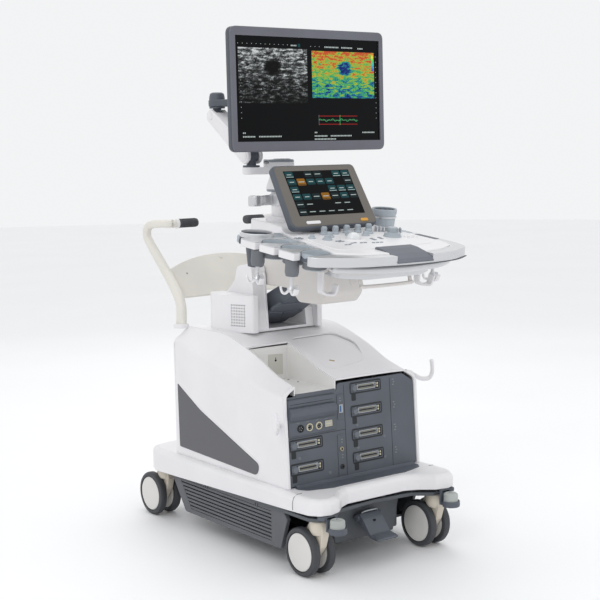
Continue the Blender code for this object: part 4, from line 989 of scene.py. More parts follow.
def push_handle():
    parts = []
    for name, side in SIDES:
        path = [(side * x, y, z) for x, y, z in smooth_path(ARM_ROUTE, 6)]
        parts.append((sweep(path, arm_size, 24, corner=.8), "cream_abs"))
        ferrule = lathe([(0, -.004), (.0135, -.004), (.0145, -.002), (.0145, .002), (.0135, .004),
            (0, .004)], (side * .1515, .303, .85), "x")
        parts.append((ferrule, "white_abs"))
        foot = lathe([(0, .564), (.0215, .564), (.0215, .57), (.0195, .576), (0, .576)], (side * .2,
            .214, 0))
        parts.append((foot, "white_abs"))
        low = min(side * .085, side * .149)
        grip = [(0, 0.0), (.01, 0.0), (.0135, .0015), (.0145, .005), (.0145, .06), (.0138, .0632),
            (0, .064)]
        oval = moved((low, .303, .85)) @ turned(radians(90), 4, "Y")
        mesh = lathe(grip, (0, 0, 0), "z", 40, oval @ Matrix.Diagonal((.86, 1.0, 1.0, 1.0)))
        ribs = []
        line = block((-.0001, -.0004, .006), (.0006, .0004, .058), 0)
        ribs.append((repeated(line, "repeat_ring", oval @ Matrix.Diagonal((.86, 1.0, 1.0, 1.0)),
            "black_rubber", Count=36, Radius=.0144), "black_rubber"))
        finished(f"grip_{name}", "cart", [(mesh, "black_rubber")] + ribs, [f"handle_grip_{name}"])
    slope = moved((0, .2375, .64)) @ turned(radians(-34), 4, "X")
    rings = []
    for k in range(25):
        x = -.196 + .392 * k / 24
        top = -.27 + sqrt(.41**2 - (x * .98) ** 2)
        sag = .003 * (1 - (x / .196) ** 2)
        low = .003 + .004 * (1 - (x / .196) ** 2)
        ring = []
        for y, z in ((-.0035, low + .002), (-.0035, top - .002), (-.002, top), (.002, top),
                (.0035, top - .002), (.0035, low + .002), (.002, low), (-.002, low)):
            ring.append((x, y + sag, z))
        rings.append(ring)
    parts.append((rings_to_mesh(rings, place=slope), "cream_abs"))
    for x, z in ((0.0, .128), (0.0, .018), (-.135, .08), (.135, .08)):
        disc = lathe([(0, .0022), (.006, .002), (.0072, .0008), (.0072, 0), (0, 0)], (0, 0, 0), "z", 28,
            slope @ moved((x, -.0006, z)) @ STAND_UP)
        if abs(x) < .01:
            parts.append((disc, "cream_abs"))
        dot = lathe([(0, .001), (.0022, .0009), (.0026, 0), (0, 0)], (0, 0, 0), "z", 20,
            slope @ moved((x, -.0022, z)) @ STAND_UP)
        if abs(x) > .01:
            parts.append((dot, "zinc_steel"))
    finished("handle_arms", "cart", parts, ["handle_frame"])


def cable_hooks():
    route = [(.223, -.272, .3745), (.233, -.282, .368), (.244, -.296, .36), (.26, -.31, .362),
        (.266, -.316, .38), (.264, -.316, .408)]
    for name, side, back, rise in (("left", -1, 0.0, 0.0), ("right", 1, .0045, .075)):
        path = smooth_path([(side * x, y + back, z + rise) for x, y, z in route], 6)
        strap = sweep(path, lambda t: (.0036, .0062), 20, corner=.75)
        root = path[1]
        boss = lathe([(0, -.005), (.0085, -.005), (.0085, .002), (.006, .006), (0, .0065)], (0, 0, 0),
            "z", 28, moved(root) @ turned(radians(side * 90), 4, "Y"))
        tip = lathe([(0, .0062), (.004, .005), (.0062, 0.0), (.004, -.005), (0, -.0062)], path[-1], "z",
            20)
        finished(f"side_hook_{name}", "cart", [(strap, "white_abs"), (boss, "white_abs"),
            (tip, "white_abs")], [f"cable_hook_{name}"])


# Column and lift ------------------------------------------------------------
def rod_plain(radius, low, high, steps=10):
    return lathe(rect(0, low, radius, high), (0, 0, 0), "z", steps)


def grille(place, columns, rows, pitch, radius):
    """A field of dark round holes, as discs that lie a hair above the face."""
    return grid(rod_plain(radius, -.0004, .00025, 12), columns, rows, (pitch, pitch), place, "dark_gap")


def column():
    top = .5665
    parts = [(slab(rounded(rect(-.112, -.02, .092, .152), .006), top, .57, edge=.0008), "white_abs")]
    post = [(-.018, top), (.15, top), (.15, .64), (.078, .7), (.066, .738), (.05, .7455), (.004, .7455),
        (-.004, .736)]
    curve = [.001, .004, .03, .02, .012, .012, .012, .02]
    parts.append((slab(rounded(post, curve, 6), -.11, -.064, "x", .0045, 4), "white_abs"))
    shield = rounded([(-.012, .572), (-.002, .728), (-.0085, .728), (-.0185, .572)], .001, 2)
    parts.append((slab(shield, -.0735, -.0665, "x", .0008), "white_abs"))
    block_view = [(-.018, top), (.15, top), (.15, .64), (.06, .64), (-.01, .622)]
    parts.append((slab(rounded(block_view, [.001, .004, .01, .02, .008]), .064, .09, "x", .004, 4),
        "white_abs"))
    parts.append((block((-.07, .118, top), (.07, .15, .64), .004), "white_abs"))
    parts.append((block((-.0645, -.0175, top), (.0645, -.005, .573), .001), "white_abs"))
    finished("column_shell", "cart", parts, ["column_cover"])
    half = [(0.0, -.034), (.018, -.034), (.056, .053), (.056, .11), (.04, .14), (0.0, .14)]
    for name, side, inner, height in (("left", -1, .1103, .668), ("right", 1, .0903, .645)):
        plan = rounded([(side * (inner + x), y) for x, y in half], [.002, .01, .02, .02, .02, .002], 6)
        box = slab(plan, top, height, "z", .009, 5)
        turn = atan2(.087, .038) * side
        middle = Vector((side * (inner + .037), .0095, (top + height) / 2 - .004))
        face = moved(middle) @ turned(turn, 4, "Z") @ STAND_UP
        sizes = bpy.context.scene.ultrasound_sizes
        holes = grille(face, 6, 8 if side < 0 else 7, sizes.hole_pitch, sizes.hole_radius)
        finished(f"speaker_box_{name}", "cart", [(box, "white_abs"), (holes, "dark_gap")],
            [f"speaker_{name}"])


def lift():
    low, high = Vector((0, .07, .605)), Vector((0, -.085, .685))
    view = link_outline(low[1:], .0325, high[1:], .0235)
    arm = slab(view, -.0475, .0475, "x", .003)
    heading = (high - low).normalized()
    normal = Vector((0, -heading.z, heading.y))
    if normal.y > 0:
        normal = -normal
    parts = [(arm, "dark_grey_abs")]
    plates = [[(-.058, .02), (.012, .01), (-.01, .07), (-.062, .085)], [(.014, .01), (.056, .02),
        (.062, .07), (-.006, .072)], [(-.062, .09), (-.008, .076), (.062, .076), (.056, .135),
        (-.056, .135)]]
    across = Vector((1, 0, 0))
    front = Matrix((across, heading, across.cross(heading))).transposed().to_4x4()
    front = moved(low) @ front
    for k, plate in enumerate(plates):
        depth = .0285 if k < 2 else .0262
        mesh = slab(rounded(plate, .003, 2), depth - .006, depth + .0025, "z", .0016, place=front)
        parts.append((mesh, "dark_grey_abs"))
    finished("lift_cover", "lift", parts, ["lift_arm"])
    side = [(.03, .692), (.03, .7745), (-.265, .7745), (-.265, .684), (-.24, .657), (-.15, .657),
        (-.112, .69)]
    shell = slab(rounded(side, [.012, .004, .004, .03, .03, .02, .02], 6), -.0618, .0618, "x", .005, 4)
    shell = carved(shell, [block((-.0525, -.14, .64), (.0525, .04, .77), 0)])
    ring = lathe([(0, .003), (.011, .003), (.013, .0015), (.013, 0), (0, 0)], (0, 0, 0), "z", 28,
        moved((.03, -.2645, .716)) @ STAND_UP)
    # The carrier's white is painted darker and warmer as painted shade for the shadow under the
    # console.
    finished("carrier_cover", "carrier", [(shell, "white_abs_painted_shade"), (ring, "white_abs_painted_shade")],
        ["arm_carrier"])


# Console --------------------------------------------------------------------
HOLDER_EDGE = [(-.172, -.24), (-.152, -.12), (-.14, -.06), (-.126, 0.0), (-.11, .032)]
DECK_OUTLINE = [(0.0, .235), (.11, .235), (.132, .2), (.166, .11), (.205, .04), (.205, -.24),
    (.19, -.29), (.12, -.33), (0.0, -.345), (-.12, -.33), (-.19, -.29), *HOLDER_EDGE, (-.074, .085),
    (-.066, .15), (-.07, .235)]
DECK_CURVE = [0, .015, .05, .08, .03, .06, .05, .15, 0, .15, .01, .03, .1, .1, .1, .03, .05, .05, .015]


def console_deck():
    outline = rounded(DECK_OUTLINE, DECK_CURVE, 8)
    shell = slab(outline, -.05, 0.0, "z", .005, 4, DECK)
    shell = carved(shell, [block((-.058, -.4, -.018), (.058, -.2805, .01), 0, DECK), rod((-.02, -.152,
        -.03), "z", .05, .0205, 0, 40, DECK)])
    parts = [(shell, "white_abs")]
    swivel = (0.0, -.1, .7755)
    parts.append((rod(swivel, "z", .045, .04, .002), "dark_grey_abs"))
    raised = rounded([(-.158, -.262), (-.06, -.276), (.06, -.276), (.15, -.262), (.182, -.19),
        (.182, -.02), (-.118, -.02), (-.15, -.2)], .03, 8)
    parts.append((slab(raised, -.002, .0016, "z", .0014, place=DECK), "white_abs"))
    ring = lathe([(.0195, .0016), (.0215, .004), (.03, .0034), (.033, .0014), (.033, 0.0),
        (.0195, 0.0)], (-.02, -.152, 0), "z", 48, DECK, True)
    parts.append((ring, "white_abs"))
    lower = [(x, y - .0004) for x, y in outline if y < -.245]
    for z, half, out, finish in ((-.03, .0022, .001, "recess_shadow"), (-.041, .0082, .0042,
            "silver_paint")):
        parts.append((sweep([(x, y, z) for x, y in lower], even(half, out), 12, DECK, (0, 0, 1)),
            finish))
    for side in (-1, 1):
        x, y = side * .16, -.205
        hook = [(x, y, -.046), (x, y, -.102), (x + .003, y - .004, -.114), (x + .016, y - .01, -.1185),
            (x + .03, y - .016, -.115), (x + .0355, y - .018, -.094)]
        strap = sweep(smooth_path(hook, 5), even(.0105, .0036), 20, DECK, (0, 1, 0), .5)
        foot = block((x - .017, y - .016, -.062), (x + .011, y + .016, -.049), .003, DECK)
        # The hook feet take the white painted darker and warmer as painted shade for the shadow under
        # the deck.
        parts += [(strap, "white_abs"), (foot, "white_abs_painted_shade")]
    for x, y, low in ((-.25, -.205, -.024), (-.25, -.063, -.024), (.222, -.196, -.026)):
        parts += hanger(x, y, low)
    finished("console_shell", "console", parts, ["console_body"])


def hanger(x, y, top):
    """A swivelling transducer-cable hanger: a grey barrel over a three-pronged white hook."""
    barrel = [(0, top), (.014, top), (.017, top - .003), (.0175, top - .032), (.015, top - .042),
        (.006, top - .044), (0, top - .044)]
    parts = [(lathe(barrel, (x, y, 0), "z", 32, DECK), "mid_grey_abs")]
    stem = lathe([(0, top - .04), (.005, top - .04), (.0045, top - .064), (.01, top - .074),
        (.008, top - .082), (0, top - .084)], (x, y, 0), "z", 24, DECK)
    parts.append((stem, "silver_paint"))
    for k in range(3):
        angle = radians(120 * k + 25)
        out = Vector((cos(angle), sin(angle), 0))
        centre = Vector((x, y, 0))
        route = [centre + out * r + Vector((0, 0, top - drop)) for r, drop in ((.002, .073),
            (.012, .085), (.021, .083), (.0255, .07))]
        across = (-out.y, out.x, 0)
        parts.append((sweep(smooth_path(route, 4), even(.007, .003), 14, DECK, across, .7),
            "lock_white"))
    return parts


def console_rim():
    outer = [(-.271, -.2866), (-.271, -.301), (-.26, -.314), (-.198, -.341), (-.14, -.358),
        (0.0, -.374), (.14, -.358), (.22, -.32), (.236, -.262), (.236, -.045), (.2058, 0.0)]
    curve = [.006, .008, .02, .15, .15, .6, .15, .06, .06, .05, .01]
    inner = [(.2058, -.24), (.1908, -.2908), (.12, -.3312), (0.0, -.3462), (-.12, -.3312), (-.1908,
        -.2908), (-.196, -.2865)]
    outline = rounded(outer + inner, curve + [.06, .05, .15, .6, .15, .04, .002], 8)
    rim = slab(outline, -.0262, -.003, "z", .007, 5, DECK)
    well = block((-.058, -.4, -.018), (.058, -.2805, .01), 0, DECK)
    parts = [(carved(rim, [well]), "silver_paint")]
    for (x, y), size in (((.2215, -.075), (.0085, .026)), ((.2215, -.165), (.0085, .04))):
        strip = rect(x - size[0], y - size[1], x + size[0], y + size[1])
        parts.append((slab(rounded(strip, .004, 4), -.004, -.0022, "z", .0006, place=DECK),
            "dark_grey_abs" if y < -.1 else "blue_grey_dish"))
    front = [(-.196, -.318), (-.14, -.347), (0.0, -.363), (.14, -.347), (.215, -.311)]
    route = [(x, y, -.0272) for x, y in front]
    parts.append((sweep(smooth_path(route, 6), even(.0012, .011), 12, DECK, (0, 0, 1)), "mid_grey_abs"))
    finished("console_edge", "console", parts, ["console_rim"])
    roll = [(-.281, .0035), (-.283, .0062), (-.31, .0045), (-.342, -.002), (-.364, -.01),
        (-.373, -.0185), (-.369, -.0215), (-.362, -.0172), (-.281, -.0172)]
    rest = slab(rounded(roll, .006, 5), -.0575, .0575, "x", .003, 4, DECK)
    pad = finished("palm_pad", "console", [(rest, "palm_grey")], ["palm_rest"])


def small_knob(x, y, radius, height, skirt=0.0):
    """A round push-knob with a flared skirt, as part of the deck."""
    profile = [(0, height), (radius * .72, height), (radius * .86, height - .0012), (radius * .95,
        height * .45), (radius, height * .42)]
    if skirt:
        profile += [(radius + skirt, height * .3), (radius + skirt + .0008, .0014)]
    profile += [(profile[-1][0], 0.0), (0, 0.0)]
    return lathe(profile, (x, y, .0012), "z", 36, DECK)


def console_controls():
    parts = []
    for x, y, radius, height, skirt in ((-.118, -.108, .007, .011, .002), (-.092, -.138, .009, .013,
            .003), (-.06, -.106, .009, .014, .003), (.008, -.104, .009, .014, .003), (.05, -.118, .008,
            .012, .002), (.082, -.092, .0088, .012, .003)):
        parts.append((small_knob(x, y, radius, height, skirt), "blue_grey_dish"))
    key = block((-.0042, -.0026, 0.0), (.0042, .0026, .0022), .0009)
    for x, y, columns, rows, turn in ((-.15, -.095, 2, 2, 0), (-.076, -.168, 2, 2, 12), (-.058, -.2, 2,
            1, 14), (-.088, -.215, 2, 1, 6), (.03, -.172, 1, 3, -12), (.06, -.165, 1, 3, -16),
            (.008, -.215, 3, 1, -4), (-.03, -.205, 2, 1, 0)):
        place = DECK @ moved((x, y, .0012))
        place = place @ turned(radians(turn), 4, "Z")
        parts.append((grid(key.copy(), columns, rows, (.0125, .0095), place, "key_grey"), "key_grey"))
    dot = rod_plain(.0034, 0.0, .0018, 20)
    place = DECK @ moved((.155, -.175, .0012))
    parts.append((grid(dot, 3, 2, (.015, .015), place, "key_white"), "key_white"))
    cap = block((-.003, -.0105, 0.0), (.003, .0105, .013), .0018)
    place = DECK @ moved((.152, -.088, .0008)) @ turned(radians(-38), 4, "Z")
    parts.append((grid(cap, 8, 1, (.0092, .01), place, "mid_blue_grey"), "mid_blue_grey"))
    bed = block((-.036, -.012, -.001), (.036, .012, .0014), .001, DECK @ moved((.152, -.088, .0004))
        @ turned(radians(-38), 4, "Z"))
    parts.append((bed, "white_abs"))
    finished("deck_controls", "console", parts)

    rib = block((-.0002, -.0006, .004), (.0006, .0006, .019), 0)
    for index in range(5):
        place = DECK @ moved((-.05 + .0375 * index, -.07, 0.0))
        profile = [(0, .0232), (.0052, .0232), (.0068, .0222), (.0076, .0195), (.0082, .008),
            (.0098, .006), (.0102, .0018), (0, .0018)]
        ribs = repeated(rib.copy(), "repeat_ring", place, "blue_grey_dish", Count=20, Radius=.0078)
        finished(f"soft_knob_{index + 1}", f"knob_{index + 1}", [(lathe(profile, (0, 0, 0), "z", 40,
            place), "blue_grey_dish"), (ribs, "blue_grey_dish")], [f"touch_knob_{index + 1}"])
    ball = bmesh.new()
    bmesh.ops.create_uvsphere(ball, u_segments=48, v_segments=24, radius=.019)
    bmesh.ops.transform(ball, matrix=DECK @ moved((-.02, -.152, .0015)), verts=ball.verts)
    finished("ball", "ball", [(to_mesh(ball), "ball_resin")], ["trackball"])
    place = DECK @ moved((.112, -.152, 0.0))
    stack = [(0, .0262), (.0105, .0262), (.0128, .025), (.0136, .022), (.0142, .013), (.0185, .0128),
        (.0205, .0115), (.0215, .006), (.0235, .004), (.0238, .0018), (0, .0018)]
    flute = block((-.0003, -.0007, .014), (.0006, .0007, .023), 0)
    finished("stacked_dial", "dial", [(lathe(stack, (0, 0, 0), "z", 56, place), "blue_grey_dish"),
        (repeated(flute, "repeat_ring", place, "blue_grey_dish", Count=28, Radius=.0138),
        "blue_grey_dish")], ["gain_dial"])


def keyboard_drawer():
    plan = rounded([(-.148, -.115), (-.148, -.262), (-.09, -.295), (.09, -.295), (.148, -.262),
        (.148, -.115)], [.004, .03, .08, .08, .03, .004], 8)
    tray = slab(plan, -.072, -.0508, "z", .004, 4, DECK)
    tray = carved(tray, [block((-.138, -.258, -.066), (.138, -.125, -.04), 0, DECK)])
    parts = [(tray, "silver_paint")]
    # The drawer's front trim and pull take the white painted darker and warmer as painted shade for the
    # shadow under the console.
    front = [(-.1485, -.215), (-.148, -.263), (-.09, -.296), (0.0, -.2975), (.09, -.296), (.148, -.263),
        (.1485, -.215)]
    parts.append((sweep(smooth_path([(x, y, -.0555) for x, y in front], 5), even(.0032, .0016), 12,
        DECK, (0, 0, 1)), "white_abs_painted_shade"))
    loop = [(-.08, -.258, -.07), (-.08, -.266, -.09), (-.072, -.27, -.095), (.072, -.27, -.095),
        (.08, -.266, -.09), (.08, -.258, -.07)]
    parts.append((sweep(smooth_path(loop, 5), even(.0046, .0044), 16, DECK, (0, 1, 0), .7),
        "white_abs_painted_shade"))
    key = block((-.0062, -.0062, 0.0), (.0062, .0062, .0035), .0012)
    place = DECK @ moved((0, -.19, -.0658))
    parts.append((grid(key, 16, 6, (.0165, .0165), place, "key_grey"), "key_grey"))
    finished("drawer_tray", "drawer", parts, ["keyboard_drawer"])


def probe_holders():
    edge = [(x - .0014, y) for x, y in HOLDER_EDGE]
    plan = [(-.1895, -.283), *edge, (-.15, .05), (-.236, .05), (-.244, .04), (-.244, -.275),
        (-.238, -.283)]
    bed = slab(rounded(plan, .004, 3), -.024, -.0062, "z", .002, 3, DECK)
    bowls = [lathe([(0, -.04), (.0235, -.04), (.03, -.012), (.0338, .01), (0, .01)], (CUP_X, y, 0), "z",
        48, DECK) for y in CUP_Y]
    ring_hole = rod((CUP_X, GEL_Y, -.04), "z", .06, .0436, 0, 48, DECK)
    parts = [(carved(bed, bowls + [ring_hole]), "blue_grey_dish")]
    for y in CUP_Y:
        middle = y + .04
        inboard = -.15 - (.005 if y < -.2 else 0.0)
        plan = [(-.272, middle - .031), (-.25, middle - .029), (-.234, middle - .012), (inboard,
            middle - .006), (inboard, middle + .006), (-.234, middle + .012), (-.25, middle + .029),
            (-.272, middle + .031)]
        plan = rounded(plan, .005, 4)
        cutters = [lathe(rect(0, -.05, .0345, .02), (CUP_X, c, 0), "z", 48, DECK) for c in CUP_Y
            if abs(c - middle) < .05]
        if y == CUP_Y[-1]:
            cutters.append(rod((CUP_X, GEL_Y, -.05), "z", .08, .0436, 0, 48, DECK))
        for low, high, edge_size, finish in ((-.0235, -.005, .0025, "white_abs"), (-.0052, -.0034,
                .0008, "silver_paint")):
            parts.append((carved(slab(plan, low, high, "z", edge_size, 4, DECK),
                [c.copy() for c in cutters]), finish))
        dish = [(.0334, -.004), (.0336, -.0052), (.0322, -.009), (.029, -.015), (.0256, -.022),
            (.0238, -.028), (.0234, -.042), (0, -.043), (0, -.0462), (.0262, -.046), (.0284, -.044),
            (.029, -.03), (.0345, -.009), (.0346, -.005)]
        parts.append((lathe(dish, (CUP_X, y, 0), "z", 56, DECK), "blue_grey_dish"))
        sleeve = [(.028, -.024), (.0296, -.025), (.0298, -.042), (.028, -.044)]
        parts.append((lathe(sleeve, (CUP_X, y, 0), "z", 48, DECK, True), "mid_grey_abs"))
    lip = [(-.244, .03, -.02), (-.244, -.12, -.02), (-.244, -.276, -.02)]
    parts.append((sweep(lip, even(.0016, .006), 12, DECK), "dark_grey_abs"))
    finished("holder_row", "console", parts, ["probe_tray"])

    place = DECK @ moved((CUP_X, GEL_Y, .004))
    bowl = [(.0395, -.001), (.0385, -.009), (.025, -.032), (.0175, -.081), (0, -.081), (0, -.085),
        (.0195, -.085), (.0215, -.07), (.027, -.034), (.0428, -.011), (.0428, -.001)]
    finished("gel_holder", "console", [(lathe(bowl, (0, 0, 0), "z", 56, place), "dark_grey_abs"),
        (lathe([(.0392, 0.0), (.0396, .0026), (.0412, .0034), (.0432, .0022), (.0434, -.008),
        (.0392, -.006)], (0, 0, 0), "z", 56, place, True), "silver_paint")], ["gel_cup"])
    place = DECK @ moved((.2425, .035, 0.0))
    wall = [(.0305, .04), (.032, .0425), (.0345, .0425), (.0355, .04), (.035, .03), (.0325, .025),
        (.03, -.012), (0, -.012), (0, -.009), (.029, -.009)]
    band = [(.0325, .018), (.035, .0185), (.035, .0225), (.0325, .023)]
    finished("ring_holder", "console", [(lathe(wall, (0, 0, 0), "z", 56, place), "blue_grey_dish"),
        (lathe(band, (0, 0, 0), "z", 56, place, True), "silver_paint"), (block((-.042, -.014, -.0118),
        (-.0294, .014, -.002), .002, place), "white_abs")], ["probe_cup_right"])


# Touch panel ----------------------------------------------------------------
def touch_panel():
    tall = .187
    face = rounded([(-.143, 0.0), (.143, 0.0), (.137, tall), (-.137, tall)], .016, 8)
    shell = slab(face, 0.0, .022, "y", .005, 5, TOUCH)
    inner = [(x * .972, .0935 + (z - .0935) * .955) for x, z in face]
    mask = slab(inner, -.0008, .002, "y", .0008, place=TOUCH)
    back = rounded([(-.1, .03), (.1, .03), (.085, .15), (-.085, .15)], .012)
    hinge = block((-.07, .004, .0003), (.07, .05, .046), .006, DECK)
    parts = [(shell, "dark_grey_abs"), (mask, "taupe_bezel"), (slab(back, .018, .04, "y", .006, 4,
        TOUCH), "dark_grey_abs"), (hinge, "white_abs")]
    left, right, low, high = -.108, .11, .034, .168
    parts.append((slab(rect(left, low, right, high), -.0012, 0.0, "y", .0002, place=TOUCH),
        "screen_black"))
    width, height = (right - left) / 7, (high - low) / 6
    amber = {(1, 4), (3, 2)}
    lit = {(0, 5), (5, 5), (6, 5), (0, 4), (2, 4), (3, 4), (4, 4), (0, 3), (4, 3), (5, 3), (6, 3),
        (0, 2), (1, 2), (5, 2)}
    dim = {(6, 4), (2, 2), (4, 2), (6, 2), (0, 1), (0, 0), (2, 5), (3, 5)}
    lined = {(1, 1), (4, 1), (5, 1), (1, 0), (2, 0), (3, 0), (4, 0), (5, 0)}
    for column in range(7):
        for row in range(6):
            cell = (column, row)
            if cell not in amber | lit | lined | dim:
                continue
            x = left + width * (column + .5)
            z = low + height * (row + .5)
            half_w, half_h = width * .42, height * (.4 if cell not in lined else .1)
            if cell in amber:
                half_h = height * .46
            key = rounded(rect(x - half_w, z - half_h, x + half_w, z + half_h), .003, 3)
            finish = "ui_amber" if cell in amber else "ui_teal" if cell in lit else "ui_dim"
            if cell in amber | lit:
                parts.append((slab(rect(x - half_w * .9, z - half_h * .85, x + half_w * .9, z - half_h
                    * .7), -.0017, -.0013, "y", 0, place=TOUCH), "ui_line" if row % 2 else "ui_dim"))
            parts.append((slab(key, -.0015, -.0011, "y", 0, place=TOUCH), finish))
            mark = .55 if cell in lit else .7
            parts.append((slab(rect(x - half_w * mark, z - .001, x + half_w * mark, z + .001), -.0018,
                -.0014, "y", 0, place=TOUCH), "ui_line"))
    for x, size, finish in ((-.072, .023, "key_white"), (.098, .0125, "amber_key")):
        pill = rounded(rect(x - size, .0095, x + size, .0185), .0045, 5)
        parts.append((slab(pill, -.0028, 0.0, "y", .0012, place=TOUCH), finish))
    finished("touch_display", "console", parts, ["touch_panel"])


# Monitor arm ----------------------------------------------------------------
def monitor_arm():
    parts = [(lathe([(0, 0.0), (.046, 0.0), (.046, .008), (.042, .014), (0, .014)], (0, .176, 0), "z",
        48, DECK), "white_abs")]
    column = [(0, .868), (.03, .868), (.03, .9), (.0298, .944), (.031, .947), (.044, .95),
        (.0438, .954), (.033, .984), (.0315, .99), (0, .99)]
    parts.append((lathe(column, (0, 0, 0), "z", 56), "white_abs"))
    band = [(.0302, .905), (.034, .906), (.0345, .91), (.0345, .932), (.034, .936), (.0302, .937)]
    parts.append((lathe(band, (0, 0, 0), "z", 56, closed=True), "silver_paint"))
    collar = [(.03, .9425), (.04, .943), (.0425, .945), (.0425, .9498), (.03, .9502)]
    parts.append((lathe(collar, (0, 0, 0), "z", 56, closed=True), "mid_blue_grey"))
    bar = sweep([(-.03, .004, .921), (-.062, -.002, .921), (-.084, -.008, .921)], even(.014, .004), 14,
        wide=(0, 0, 1), corner=.6)
    parts.append((bar, "silver_paint"))
    clip = [(-.099 + .017 * cos(a), -.012 + .017 * sin(a), .921) for a in [radians(d) for d in range(20,
        301, 14)]]
    parts.append((sweep(clip, even(.014, .0022), 14, wide=(0, 0, 1), corner=.6), "silver_paint"))
    parts.append((block((.024, -.04, .908), (.044, -.026, .928), .003), "white_abs"))
    finished("post_shell", "console", parts, ["monitor_post"])

    heading = atan2(ELBOW[1], ELBOW[0])
    step = moved((ELBOW[0], ELBOW[1], 0)) @ turned(heading, 4, "Z")
    notch = block((-.042, -.04, 1.01), (.06, .04, 1.06), 0, step)
    plan = link_outline((0, 0), .034, ELBOW[:2], .025)
    lower = carved(slab(plan, .9906, 1.026, "z", .005, 4), [notch])
    cap = carved(slab([(x * .99, y * .99) for x, y in plan], 1.018, 1.03, "z", .004, 4),
        [block((-.042, -.04, 1.0), (.06, .04, 1.06), 0, step)])
    disc = lathe([(0, 1.032), (.022, 1.032), (.025, 1.0305), (.0255, 1.029), (0, 1.029)], (0, 0, 0),
        "z", 48)
    finished("lower_link", "lower_arm", [(lower, "white_abs"), (cap, "mid_blue_grey"),
        (disc, "mid_blue_grey")], ["lower_arm"])
    x = ELBOW[0]
    barrel = lathe([(0, -.0152), (.015, -.0152), (.016, -.014), (.016, .014), (.015, .0152),
        (0, .0152)], ELBOW, "x")
    finished("elbow_joint", "elbow", [(rod((x, ELBOW[1], 1.0103), "z", .005, .023), "dark_grey_abs"),
        (rod((x, ELBOW[1], 1.013), "z", .027, .013), "dark_grey_abs"), (barrel, "dark_grey_abs")],
        ["elbow_barrel"])
    view = link_outline(ELBOW[1:], .0222, WRIST[1:], .0188, 16)
    slot = .0162
    cutters = [rod((x - slot, c[1], c[2]), "x", 2 * slot, r, 0) for c, r in ((ELBOW, .0245),
        (WRIST, .0215))]
    cutters.append(block((x - .0185, ELBOW[1] - .04, .98), (x + .0185, ELBOW[1] + .016,
        ELBOW[2] - .012), 0))
    body = carved(slab(view, x - .0255, x + .0255, "x", .005, 4), cutters)
    strip = [(x + .0262, .052, 1.0555), (x + .0262, .11, 1.095), (x + .0262, .168, 1.1345)]
    parts = [(body, "white_abs"), (sweep(strip, even(.0006, .0105), 10, wide=(1, 0, 0)),
        "mid_blue_grey")]
    for centre, radius in ((ELBOW, .015), (WRIST, .0125)):
        for way in (-1, 1):
            place = (x + way * .0255, centre[1], centre[2])
            profile = [(0, way * .0022), (radius - .002, way * .002), (radius, way * .0008), (radius,
                -way * .001), (0, -way * .001)]
            parts.append((lathe(profile, place, "x", 40), "white_abs"))
    finished("upper_link", "upper_arm", parts, ["upper_arm"])
    wrist = [(rod((WRIST[0] - .0152, WRIST[1], WRIST[2]), "x", .0304, .0135), "dark_grey_abs"),
        (rod((WRIST[0], WRIST[1], WRIST[2] + .002), "z", .022, .0115), "dark_grey_abs"),
        (rod((WRIST[0], WRIST[1], WRIST[2] + .0215), "z", .0045, .022), "dark_grey_abs")]
    finished("wrist_joint", "wrist", wrist, ["arm_wrist"])
    low, high = WRIST[2] + .0263, WRIST[2] + .046
    plan = link_outline(WRIST[:2], .024, (TILT[0] - .012, .052), .024)
    parts = [(slab(plan, low, high, "z", .004, 4), "dark_grey_abs")]
    hump = [(0, high + .02), (.014, high + .0195), (.0195, high + .016), (.0218, high + .006),
        (.0222, high - .004), (0, high - .004)]
    parts.append((lathe(hump, (WRIST[0], WRIST[1], 0), "z", 44), "dark_grey_abs"))
    parts.append((block((TILT[0] - .028, .02, low + .001), (TILT[0] + .028, .06, 1.222), .003),
        "dark_grey_abs"))
    parts.append((rod((TILT[0] - .028, TILT[1], TILT[2]), "x", .056, .011), "dark_grey_abs"))
    finished("tilt_head", "bracket", parts, ["tilt_bracket"])


# Monitor --------------------------------------------------------------------
def screen_quad(x0, x1, z0, z1, finish, depth=-.0003):
    """A thin lit area on the monitor; x from the screen's left, z from its lower edge."""
    return (slab(rect(x0 - .2425, z0 + .0265, x1 - .2425, z1 + .0265), .004 + depth, .0044, "y", 0,
        place=SCREEN), finish)


